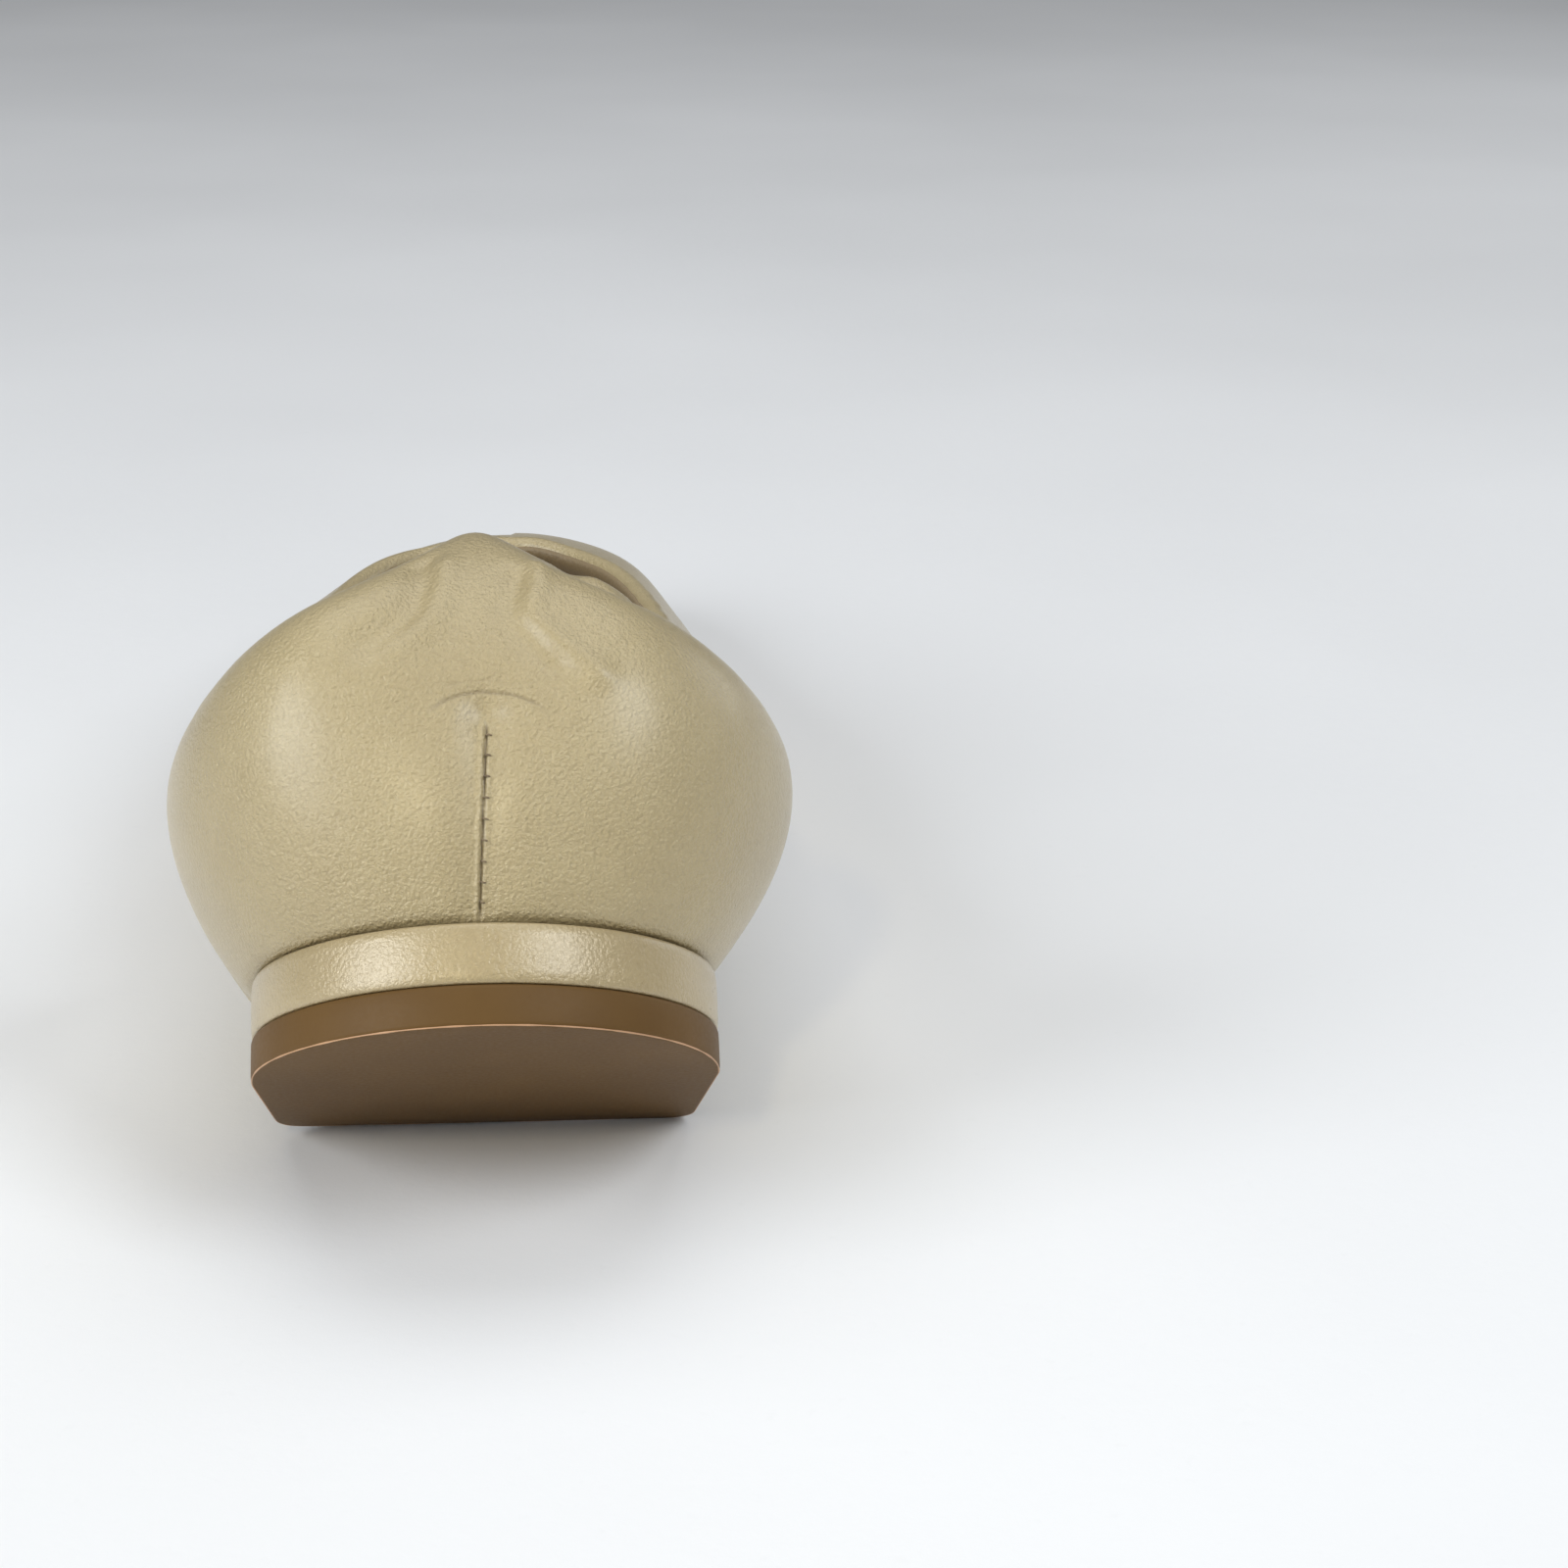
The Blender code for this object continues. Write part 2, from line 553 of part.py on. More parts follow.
def main():
    for obj in list(bpy.data.objects):
        bpy.data.objects.remove(obj, do_unlink=True)
    parts = bpy.data.collections.new("ballet_slipper")
    cutters = bpy.data.collections.new("cutters")
    bpy.context.scene.collection.children.link(parts)
    bpy.context.scene.collection.children.link(cutters)
    heel, fore = add_empties(parts)
    cutter = nail_cutter(heel, cutters, LIFT_THICKNESS + GAP + 0.5, NAIL_HEAD_Z + GAP)
    build_uppers(heel, fore, parts)
    build_sole(heel, fore, parts, cutter)
    build_heel(heel, parts, cutter)


main()
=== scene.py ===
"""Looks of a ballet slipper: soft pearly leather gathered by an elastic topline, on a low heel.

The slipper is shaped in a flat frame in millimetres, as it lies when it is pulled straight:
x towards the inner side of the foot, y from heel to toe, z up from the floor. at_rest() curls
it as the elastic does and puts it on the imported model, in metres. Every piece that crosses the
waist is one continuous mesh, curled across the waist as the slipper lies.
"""

import json
import math
from collections import namedtuple

import bmesh
import bpy
import numpy as np
from mathutils import Matrix, Vector


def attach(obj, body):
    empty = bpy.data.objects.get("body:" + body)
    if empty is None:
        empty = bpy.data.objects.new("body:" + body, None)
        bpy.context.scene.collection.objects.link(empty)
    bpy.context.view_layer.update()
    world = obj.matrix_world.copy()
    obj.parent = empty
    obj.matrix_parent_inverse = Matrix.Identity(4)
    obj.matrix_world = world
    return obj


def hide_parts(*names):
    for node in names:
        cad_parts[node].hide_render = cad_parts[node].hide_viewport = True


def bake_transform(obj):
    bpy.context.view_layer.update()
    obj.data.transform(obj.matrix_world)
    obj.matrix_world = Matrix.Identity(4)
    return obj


MM = 0.001
HEEL, FORE = "heel_part", "forepart"

# The slipper's own sizes, as in the CAD model, in millimetres.
HEEL_HEIGHT = 12.0
LIFT_THICKNESS = 4.8
SOLE_LEVEL = 4.0
TOE_SPRING = 4.0
LENGTH = 244.0
SEAT_HALF_WIDTH = 27.7
BACK_HEIGHT, SIDE_HEIGHT, THROAT_HEIGHT = 62.0, 36.0, 35.0
HEEL_REAR_Y, BREAST_Y = -0.9, 54.0
HEEL_ROUND_END = 28.0          # the heel is round up to here, then runs to the breast
DROP_START, DROP_END = 48.0, 128.0
SPRING_START, SPRING_RUN = 190.0, 55.0
HINGE_Y, HINGE_Z = 58.0, 10.5
FLEX_START, FLEX_END = 48.0, 92.0
TREAD_START = 98.0
SEAT_END = 50.0                # the footbed's thick seat and the heel's cover end past here

# Leather and lining.
QUARTER_THICKNESS, VAMP_THICKNESS = 0.8, 0.6
LINING_DEPTH, LINING_THICKNESS = 2.45, 0.5
ROLL_RADIUS = 1.62             # the topline is rolled over the elastic
ROLL_TURN = math.radians(155)
ROLL_ROWS = 12
TUCK = 1.6                     # the lower edge turns in under the foot
TUCK_ROWS = 6
WALL_START = 0.03              # height on a rib where the wall proper starts, above the tuck
FACING_DROP = 6.5              # how far the rolled edge reaches down inside
SIDE_SEAM = 4.25               # rib of the side seams, outer side; the inner one mirrors it
LAP = 0.2                      # ribs that the vamp reaches in under the quarter
LAP_DEPTH = 0.86

# The short seam that shapes the back.
DART_START, DART_END = 0.02, 0.40
DART_LEAN = 0.05
DART_STITCHES = 9
DART_THREAD_RADIUS, SIDE_THREAD_RADIUS, TOPLINE_THREAD_RADIUS = 0.10, 0.16, 0.17
SEWING_ROW = 1.3               # the stitches lie this far above the facing's lower edge
RIB_WIDTH, RIB_LENGTH = 22.0, 54.0      # millimetres per rib, and up a rib, at the back

Rib = namedtuple("Rib", "seam belly shoulder topline")
RIBS = (
    Rib((0, 0.8), (7, 16), (14, -8), (0, 9, BACK_HEIGHT)),
    Rib((-20, 8), (10, 14), (22, 0.7), (-12, 11, 53.6)),
    Rib((-SEAT_HALF_WIDTH, 26), (12, 14), (26, 5.5), (-19, 27, 46.2)),
    Rib((-26.5, 52), (13, 14), (22, 0.6), (-24, 54, 43.6)),
    Rib((-26, 90), (11, 14), (15, -2), (-28, 92, 40)),
    Rib((-35, 135), (6, 14), (11, -3.5), (-28.5, 130, 37)),
    Rib((-38, 170), (3, 14), (11, -8), (-23, 158, 35.6)),
    Rib((-32, 208), (4, 9), (15, -13), (-14.5, 172.5, THROAT_HEIGHT)),
    Rib((-16, 236), (4, 8), (21, -18), (-7, 178, THROAT_HEIGHT)),
    Rib((4, LENGTH), (4, 8.5), (24, -19), (0.5, 180, THROAT_HEIGHT)),
    Rib((21, 235), (4, 8), (20, -18.5), (8, 178, THROAT_HEIGHT)),
    Rib((31, 208), (3, 8), (12.5, -14), (16.5, 171.5, THROAT_HEIGHT)),
    Rib((35.5, 175), (1.5, 9.5), (8, -11), (24, 156, 35.2)),
    Rib((30.5, 143), (3, 11), (6, -7), (28.5, 128, SIDE_HEIGHT)),
    Rib((22, 100), (11, 14), (15, -2), (28, 92, 39)),
    Rib((23, 56), (13, 14), (22, 0.6), (24, 54, 43.6)),
    Rib((SEAT_HALF_WIDTH - 1, 26), (12, 14), (26.5, 4.8), (20, 27, 46.0)),
    Rib((19.5, 8), (10, 14), (21, -0.7), (12, 11, 54.4)),
)
AROUND = len(RIBS)

# Camera, in metres and degrees.
CAMERA_PLACE = (0.00729, -0.4181, 0.18078)
CAMERA_YAW, CAMERA_PITCH, CAMERA_ROLL = 5.0, 21.5, 0.6
CAMERA_LENS = 69.05

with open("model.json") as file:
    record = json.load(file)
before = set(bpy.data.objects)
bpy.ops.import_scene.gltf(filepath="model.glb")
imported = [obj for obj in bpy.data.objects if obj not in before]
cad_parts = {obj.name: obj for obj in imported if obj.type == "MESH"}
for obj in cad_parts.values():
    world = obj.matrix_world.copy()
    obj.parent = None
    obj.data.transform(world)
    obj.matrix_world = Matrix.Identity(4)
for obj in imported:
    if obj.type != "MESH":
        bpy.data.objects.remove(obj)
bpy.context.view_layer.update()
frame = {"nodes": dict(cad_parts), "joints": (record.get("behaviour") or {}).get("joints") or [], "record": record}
joint = frame["joints"][0]
hinge = np.array(joint["pos_m"]) / MM
curl = math.radians(joint["range_deg"][1])
tread_axis = next(m["axis"] for m in frame["record"]["mounts"] if m["name"] == "tread_face")
tilt = math.atan2(tread_axis[1], -tread_axis[2])


# ---- The slipper's form ----

def ramp(t):
    """A smooth step from 0 to 1."""
    t = np.clip(t, 0.0, 1.0)
    return t * t * (3 - 2 * t)


def bump(distance, width):
    """A soft hill of height 1."""
    return np.exp(-(distance / width) ** 2)


def seam_height(y):
    drop = (HEEL_HEIGHT - SOLE_LEVEL) * ramp((y - DROP_START) / (DROP_END - DROP_START))
    spring = np.clip((y - SPRING_START) / SPRING_RUN, 0, 1)
    return HEEL_HEIGHT - drop + TOE_SPRING * spring ** 2


def around(rows, u):
    """A closed Catmull-Rom curve through the rows; u counts ribs from the back, outer side first."""
    rows = np.asarray(rows, float)
    first = np.floor(u).astype(int)
    f = (u - first)[:, None]
    a, b, c, d = (rows[(first + k) % len(rows)] for k in (-1, 0, 1, 2))
    return 0.5 * (2 * b + (c - a) * f + (2 * a - 5 * b + 4 * c - d) * f ** 2
                  + (3 * b - a - 3 * c + d) * f ** 3)


def rib_handles(u):
    rows = around([(*r.seam, *r.belly, *r.shoulder, *r.topline) for r in RIBS], u)
    step = 0.02
    seams = [r.seam for r in RIBS]
    along = around(seams, u + step) - around(seams, u - step)
    out = np.stack([along[:, 1], -along[:, 0], np.zeros(len(u))], 1)
    out /= -np.linalg.norm(out, axis=1)[:, None]
    up = np.array([0.0, 0.0, 1.0])
    seam = np.stack([rows[:, 0], rows[:, 1], seam_height(rows[:, 1])], 1)
    belly = seam + out * rows[:, 2:3] + up * rows[:, 3:4]
    topline = rows[:, 6:9]
    shoulder = topline + out * rows[:, 4:5] + up * rows[:, 5:6]
    return seam, belly, shoulder, topline


def outer_wall(u, s):
    """The upper's outer face: ribs u, and heights s from 0 at the seam to 1 at the topline."""
    p0, p1, p2, p3 = (p[:, None, :] for p in rib_handles(u))
    t = s[None, :, None]
    return (1 - t) ** 3 * p0 + 3 * (1 - t) ** 2 * t * p1 + 3 * (1 - t) * t * t * p2 + t ** 3 * p3


def wall_axes(u, s):
    """The outer face with its inward normal and its direction upwards."""
    step = 0.01
    along = outer_wall(u + step, s) - outer_wall(u - step, s)
    rise = outer_wall(u, s + step) - outer_wall(u, s - step)
    inward = np.cross(along, rise)
    inward /= np.linalg.norm(inward, axis=2)[..., None]
    rise /= np.linalg.norm(rise, axis=2)[..., None]
    return outer_wall(u, s), inward, rise


def at_rest(points):
    """Flat-frame points as metres in the row frame, curled as the slipper lies."""
    points = np.asarray(points, float)
    held = 1 - ramp((points[..., 1] - FLEX_START) / (FLEX_END - FLEX_START))
    return turned(points, tilt - curl * held)


def on_heel(points):
    """The same for the heel's hard pieces, which don't flex."""
    return turned(np.asarray(points, float), tilt - curl)


def turned(points, angle):
    dy = points[..., 1] - HINGE_Y
    dz = points[..., 2] - HINGE_Z
    y = dy * np.cos(angle) - dz * np.sin(angle)
    z = dy * np.sin(angle) + dz * np.cos(angle)
    return (np.stack([points[..., 0], y, z], -1) + hinge) * MM


def side(u):
    """Ribs from the back, positive round the outer side and negative round the inner side."""
    return (np.asarray(u) + AROUND / 2) % AROUND - AROUND / 2


# ---- Relief of the leather: how far it stands out from the plain wall, in millimetres ----

def stroke(u, s, line, width):
    """1 along a line of (rib, height) points, falling off softly over a width."""
    x, y = u * RIB_WIDTH, s * RIB_LENGTH
    nearest = np.full(np.broadcast(x, y).shape, np.inf)
    points = [(a * RIB_WIDTH, b * RIB_LENGTH) for a, b in line]
    for (ax, ay), (bx, by) in zip(points, points[1:]):
        run = (bx - ax) ** 2 + (by - ay) ** 2
        t = np.clip(((x - ax) * (bx - ax) + (y - ay) * (by - ay)) / run, 0, 1)
        nearest = np.minimum(nearest, np.hypot(x - ax - t * (bx - ax), y - ay - t * (by - ay)))
    return bump(nearest, width)


def dart_across(u, s):
    """Millimetres from the back seam, and a share that is 1 along it and 0 above its end."""
    turn = np.clip((s - DART_START) / (DART_END - DART_START), 0, 1)
    across = (u + DART_LEAN * turn) * RIB_WIDTH
    return across, ramp((DART_END + 0.015 - s) / 0.03)


def dart_relief(u, s):
    across, within = dart_across(u, s)
    above = (s - DART_END) * RIB_LENGTH
    drawn_in = -0.65 * bump(across, 2.8) * ramp((DART_END + 0.10 - s) / 0.14)
    groove = -0.45 * bump(across, 0.15) * within
    lips = (0.20 * bump(across - 0.40, 0.26) + 0.08 * bump(across + 0.45, 0.30)) * within
    dimple = -0.75 * bump(np.hypot(across, above - 1.2), 2.4)
    pulls = 0.05 * bump(across, 1.3) * within * np.cos(s * RIB_LENGTH * 2 * math.pi / 2.3)
    return drawn_in + groove + lips + dimple + pulls


def crease(u, s):
    """Fine curved creases over the end of the back seam, from 0 to 1."""
    x = (u + DART_LEAN + 0.01) * RIB_WIDTH
    y = (s - DART_END) * RIB_LENGTH + 0.6
    angle = np.arctan2(x, y)
    reach = np.hypot(x / 1.7, y)
    wander = 0.07 * np.sin(angle * 3 + 0.5) + 0.03 * np.sin(angle * 9)
    first = bump(reach - 4.2 - wander, 0.15) * ramp((1.45 - abs(angle)) / 0.6)
    second = 0.35 * bump(reach - 5.6 + wander, 0.12) * ramp((0.7 - abs(angle - 0.2)) / 0.4)
    return first + second


FOLDS = (                      # (rib, height) lines, how far each stands out, and how wide it is
    (((0.36, 0.84), (0.32, 0.76), (0.35, 0.67), (0.52, 0.60)), -0.85, 2.5),
    (((0.20, 0.82), (0.19, 0.74), (0.24, 0.65), (0.42, 0.57)), 0.50, 2.0),
    (((-0.42, 0.82), (-0.37, 0.74), (-0.29, 0.65), (-0.42, 0.58), (-0.60, 0.52)), 0.75, 1.8),
    (((-0.25, 0.76), (-0.19, 0.68), (-0.26, 0.61), (-0.40, 0.54)), -0.55, 2.1),
    (((-0.90, 0.92), (-1.10, 0.92), (-1.35, 0.97)), 1.15, 2.4),
    (((-0.72, 0.88), (-0.95, 0.84), (-1.25, 0.86), (-1.5, 0.92)), -1.1, 1.8),
    (((-1.50, 0.94), (-1.70, 0.97)), 0.8, 1.8),
    (((1.00, 0.93), (1.20, 0.95), (1.38, 0.98)), 0.95, 2.2),
    (((0.86, 0.88), (1.05, 0.87), (1.20, 0.89)), -0.9, 1.3),
)


def gather_phase(u):
    """Angle that runs through the gathers of the topline, uneven as real ones are."""
    return 2 * math.pi * 4.6 * u + 1.1 * np.sin(2.3 * u + 0.4) + 0.7 * np.sin(5.9 * u + 2.0)


def gather_amount(u):
    """Share of gathering along the topline: none over the tab, none over the toes."""
    away = abs(side(u))
    return ramp((away - 1.1) / 0.7) * (1 - ramp((away - 4.6) / 1.6))


def gathers(u, s):
    """Gathers under the topline, which the elastic also pulls in and down."""
    phase = gather_phase(u) + 1.5 * np.sin(9 * s)
    deep = ramp((s - 0.74) / 0.22)
    low = 0.10 * ramp((s - 0.50) / 0.35)
    waves = np.cos(phase) + 0.40 * np.cos(2 * phase + 1.0 + 3 * u)
    tall = 0.75 + 0.35 * np.sin(1.7 * u + 0.8)
    pulled_in = 0.45 * ramp((s - 0.70) / 0.30)
    return gather_amount(u) * ((deep * 0.55 + low) * waves * tall - pulled_in)


def slack(u, s):
    """Broad, very shallow unevenness of leather that isn't stretched tight."""
    return (0.28 * np.sin(2.1 * u + 4.0 * s) * np.sin(3.3 * s + 0.9 * u + 1.0)
            + 0.12 * np.sin(4.7 * u - 7.0 * s + 2.0)) * ramp(s / 0.2)


def relief(u, s):
    near = side(u)
    total = dart_relief(near, s) + slack(near, s) + gathers(near, s) - 0.26 * crease(near, s)
    for line, height, width in FOLDS:
        total = total + height * stroke(near, s, line, width)
    return total


# ---- Mesh helpers ----

def new_piece(name, points_mm, faces, place, material, smooth=True):
    """A mesh from flat-frame points; they are kept on it to hold its grain in place."""
    points_mm = np.asarray(points_mm, float).reshape(-1, 3)
    mesh = bpy.data.meshes.new(name)
    mesh.from_pydata([tuple(p) for p in place(points_mm)], [], faces)
    grain = mesh.attributes.new("flat_place", "FLOAT_VECTOR", "POINT")
    grain.data.foreach_set("vector", points_mm.astype(np.float32).ravel())
    if smooth:
        mesh.shade_smooth()
    obj = bpy.data.objects.new(name, mesh)
    bpy.context.scene.collection.objects.link(obj)
    mesh.materials.append(material)
    return obj


def face_out(obj):
    bm = bmesh.new()
    bm.from_mesh(obj.data)
    bmesh.ops.recalc_face_normals(bm, faces=bm.faces)
    bm.to_mesh(obj.data)
    bm.free()


def grid_faces(rows, columns, start=0, closed_columns=False, closed_rows=False):
    """Quads of a grid whose points run row by row, joined round either way where it is closed."""
    faces = []
    for r in range(rows if closed_rows else rows - 1):
        row, following = start + r * columns, start + (r + 1) % rows * columns
        for c in range(columns if closed_columns else columns - 1):
            d = (c + 1) % columns
            faces.append((row + c, row + d, following + d, following + c))
    return faces


def set_share(obj, name, values):
    """Keeps a share from 0 to 1 on each point, for the material."""
    attribute = obj.data.attributes.new(name, "FLOAT", "POINT")
    attribute.data.foreach_set("value", np.asarray(values, np.float32).ravel())


def set_no_shade(obj):
    """For leather with no groove or crease to darken with painted shade."""
    set_share(obj, "seam_shade", np.zeros(len(obj.data.vertices)))


def thicken(obj, thickness, offset):
    solid = obj.modifiers.new("thickness", "SOLIDIFY")
    solid.thickness = thickness * MM
    solid.offset = offset
    solid.use_rim = True


def soften(obj, width, segments=2):
    edge = obj.modifiers.new("edge", "BEVEL")
    edge.width = width * MM
    edge.segments = segments
    edge.limit_method = "ANGLE"
    edge.angle_limit = math.radians(50)
    edge.harden_normals = False


def bend_at_waist(obj):
    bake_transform(obj)


def finish_piece(obj, body=None, stands_for=()):
    """Hides the CAD nodes it stands for, and attaches the piece to the body it moves with; with no body it stays
    where it lies.
    """
    if stands_for:
        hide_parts(*stands_for)
    if body is None:
        bend_at_waist(obj)
    else:
        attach(obj, body)
    return obj


# ---- Materials ----

class Nodes:
    """A material's node tree with short ways to add to it."""

    def __init__(self, name, settings):
        self.material = bpy.data.materials.new(name)
        self.material.use_nodes = True
        self.tree = self.material.node_tree
        self.shader = self.tree.nodes["Principled BSDF"]
        for socket, value in settings.items():
            self.shader.inputs[socket].default_value = value

    def add(self, kind, links=None, values=None, **settings):
        node = self.tree.nodes.new(kind)
        for key, value in settings.items():
            setattr(node, key, value)
        for socket, value in (values or {}).items():
            node.inputs[socket].default_value = value
        for socket, source in (links or {}).items():
            self.tree.links.new(source, node.inputs[socket])
        return node

    def place(self):
        """Where a point lies on the flat slipper, in millimetres."""
        return self.add("ShaderNodeAttribute", attribute_name="flat_place").outputs["Vector"]

    def own_place(self):
        """A carried-over CAD node's own coordinates, in millimetres."""
        coordinates = self.add("ShaderNodeTexCoord").outputs["Object"]
        scaled = self.add("ShaderNodeVectorMath", {0: coordinates}, operation="SCALE")
        scaled.inputs["Scale"].default_value = 1 / MM
        return scaled.outputs[0]

    def share(self, name):
        return self.add("ShaderNodeAttribute", attribute_name=name).outputs["Fac"]

    def noise(self, place, scale, detail=2.0, rough=0.5):
        values = {"Scale": scale, "Detail": detail, "Roughness": rough}
        return self.add("ShaderNodeTexNoise", {"Vector": place}, values).outputs["Fac"]

    def cells(self, place, scale, feature="F1", uneven=1.0):
        values = {"Scale": scale, "Randomness": uneven}
        node = self.add("ShaderNodeTexVoronoi", {"Vector": place}, values, feature=feature)
        return node.outputs["Distance"]

    def span(self, value, low, high, to_low, to_high):
        values = {"From Min": low, "From Max": high, "To Min": to_low, "To Max": to_high}
        return self.add("ShaderNodeMapRange", {"Value": value}, values).outputs["Result"]

    def maths(self, operation, a, b):
        node = self.add("ShaderNodeMath", operation=operation)
        for index, value in enumerate((a, b)):
            if isinstance(value, (int, float)):
                node.inputs[index].default_value = value
            else:
                self.tree.links.new(value, node.inputs[index])
        return node.outputs[0]

    def blend(self, share, first, second):
        """A colour between two, each a colour or an output."""
        node = self.add("ShaderNodeMix", {"Factor": share}, data_type="RGBA")
        for socket, colour in ((node.inputs[6], first), (node.inputs[7], second)):
            if isinstance(colour, tuple):
                socket.default_value = (*colour, 1)
            else:
                self.tree.links.new(colour, socket)
        return node.outputs[2]

    def relief(self, height, distance, below=None, strength=1.0):
        """A bump of that depth in millimetres, on top of an earlier one."""
        values = {"Strength": strength, "Distance": distance * MM}
        links = {"Height": height}
        if below is not None:
            links["Normal"] = below
        return self.add("ShaderNodeBump", links, values).outputs["Normal"]

    def use(self, colour=None, roughness=None, normal=None):
        sources = (("Base Color", colour), ("Roughness", roughness), ("Normal", normal))
        for socket, source in sources:
            if source is not None:
                self.tree.links.new(source, self.shader.inputs[socket])
        return self.material


# The third colour of a look is painted shade, for the grain's valleys, the back seam's groove and the creases.
LeatherLook = namedtuple("LeatherLook", "light dark soil rough_low rough_high grain_depth")


def leather_material(name, look, settings):
    """Fine-grained leather: pebbled cells, pores, soft mottling, and painted shade in the grain's valleys, the
    back seam's groove and the creases.
    """
    n = Nodes(name, settings)
    place = n.place()
    wander = n.noise(place, 0.9, 1.0)
    cells = n.cells(place, 2.3, "SMOOTH_F1", 0.95)
    fine = n.cells(place, 4.6, "F1", 1.0)
    pores = n.noise(place, 5.5, 3.0, 0.6)
    grain = n.maths("SUBTRACT", 1.0, n.maths("MULTIPLY", cells, 1.0))
    grain = n.maths("SUBTRACT", grain, n.maths("MULTIPLY", fine, 0.35))
    grain = n.maths("ADD", grain, n.maths("MULTIPLY", pores, 0.35))
    broad = n.noise(place, 0.035, 3.0, 0.55)
    patch = n.noise(place, 0.22, 4.0, 0.6)
    tone = n.span(n.maths("ADD", broad, n.maths("MULTIPLY", patch, 0.4)), 0.45, 0.95, 0.0, 1.0)
    colour = n.blend(tone, look.dark, look.light)
    # Painted shade: the grain's valleys, and by the seam_shade share the back seam's groove and creases, are
    # blended towards the dark shade colour.
    valley_shade = n.span(grain, 0.75, 0.25, 0.0, 0.12)
    colour = n.blend(valley_shade, colour, look.soil)
    colour = n.blend(n.share("seam_shade"), colour, look.soil)
    rough = n.span(n.maths("ADD", wander, n.maths("MULTIPLY", pores, 0.7)), 0.5, 1.2,
                   look.rough_low, look.rough_high)
    normal = n.relief(grain, look.grain_depth)
    return n.use(colour, rough, normal)


def smooth_material(name, light, dark, settings, grain=(1.6, 0.02), rough=(0.4, 0.6), broad=0.05):
    """Moulded or pressed stuff: slight mottling and a fine skin. grain is cells per mm and depth."""
    n = Nodes(name, settings)
    place = n.place()
    mottle = n.noise(place, broad, 4.0, 0.6)
    skin = n.noise(place, grain[0], 4.0, 0.65)
    colour = n.blend(n.span(mottle, 0.3, 0.7, 0.0, 1.0), dark, light)
    colour = n.blend(n.span(skin, 0.45, 0.9, 0.0, 0.18), colour, dark)
    return n.use(colour, n.span(skin, 0.2, 0.8, *rough), n.relief(skin, grain[1]))


def woven_material(name, light, dark, threads_per_mm, depth):
    """A plain weave of threads along and across the piece."""
    n = Nodes(name, {"Roughness": 0.85, "Sheen Weight": 0.2, "Sheen Roughness": 0.5})
    split = n.add("ShaderNodeSeparateXYZ", {"Vector": n.place()})
    turns = 2 * math.pi * threads_per_mm
    waves = [n.maths("SINE", n.maths("MULTIPLY", split.outputs[k], turns), 0.0) for k in (0, 1)]
    weave = n.maths("MULTIPLY", waves[0], waves[1])
    fuzz = n.noise(n.place(), 4.0, 3.0)
    height = n.maths("ADD", weave, n.maths("MULTIPLY", fuzz, 0.5))
    colour = n.blend(n.span(height, -0.8, 1.2, 0.0, 1.0), dark, light)
    return n.use(colour, None, n.relief(height, depth))


def cad_material(name, light, dark, roughness, metallic=0.0, scale=1.5):
    """For the CAD nodes that stay as they are, inside the slipper."""
    n = Nodes(name, {"Metallic": metallic})
    speck = n.noise(n.own_place(), scale, 5.0, 0.65)
    colour = n.blend(n.span(speck, 0.35, 0.7, 0.0, 1.0), dark, light)
    rough = n.span(speck, 0.2, 0.8, roughness - 0.1, roughness + 0.1)
    return n.use(colour, rough, n.relief(speck, 0.03))


PEARL = {"Metallic": 0.10, "Specular IOR Level": 0.6, "Coat Weight": 0.55, "Coat Roughness": 0.31}
# Each look's third colour is the painted shade of its valleys, groove and creases.
upper_skin = leather_material(
    "upper_leather_grain",
    LeatherLook((0.485, 0.39, 0.21), (0.42, 0.33, 0.17), (0.15, 0.105, 0.05), 0.27, 0.37, 0.20),
    PEARL)
heel_skin = leather_material(
    "heel_leather_grain",
    LeatherLook((0.475, 0.375, 0.205), (0.41, 0.315, 0.165), (0.19, 0.135, 0.065), 0.26, 0.36, 0.09),
    PEARL)
# Painted shade: the facing is coloured a much darker brown than the upper, for the shade inside the opening.
facing_shaded_skin = leather_material(
    "facing_leather_shaded",
    LeatherLook((0.255, 0.185, 0.095), (0.20, 0.14, 0.07), (0.10, 0.065, 0.035), 0.45, 0.6, 0.10),
    {"Sheen Weight": 0.1})
lining_skin = leather_material(
    "lining_leather_grain",
    LeatherLook((0.225, 0.145, 0.08), (0.17, 0.105, 0.055), (0.08, 0.045, 0.025), 0.55, 0.75, 0.08),
    {"Sheen Weight": 0.1})
sock_skin = leather_material(
    "sock_leather_grain",
    LeatherLook((0.47, 0.38, 0.25), (0.40, 0.315, 0.20), (0.18, 0.12, 0.07), 0.50, 0.68, 0.08),
    {"Sheen Weight": 0.08})
lift_skin = smooth_material("lift_rubber_skin", (0.145, 0.078, 0.023), (0.118, 0.062, 0.018),
                            {"Specular IOR Level": 0.18}, (1.8, 0.012), (0.45, 0.60))
flash_skin = smooth_material("lift_flash_skin", (0.62, 0.36, 0.19), (0.45, 0.25, 0.13), {},
                             (3.0, 0.01), (0.4, 0.5))
tread_skin = smooth_material("tread_rubber_skin", (0.24, 0.155, 0.09), (0.19, 0.12, 0.065), {},
                             (2.2, 0.03), (0.55, 0.75))
board_skin = smooth_material("fibre_board_skin", (0.46, 0.37, 0.25), (0.36, 0.28, 0.18), {},
                             (1.1, 0.08), (0.8, 0.95))
foam_skin = smooth_material("foam_skin", (0.80, 0.76, 0.66), (0.70, 0.65, 0.54), {},
                            (2.6, 0.12), (0.85, 1.0))
cover_skin = woven_material("sole_fabric_weave", (0.33, 0.24, 0.145), (0.24, 0.17, 0.10), 0.9, 0.05)
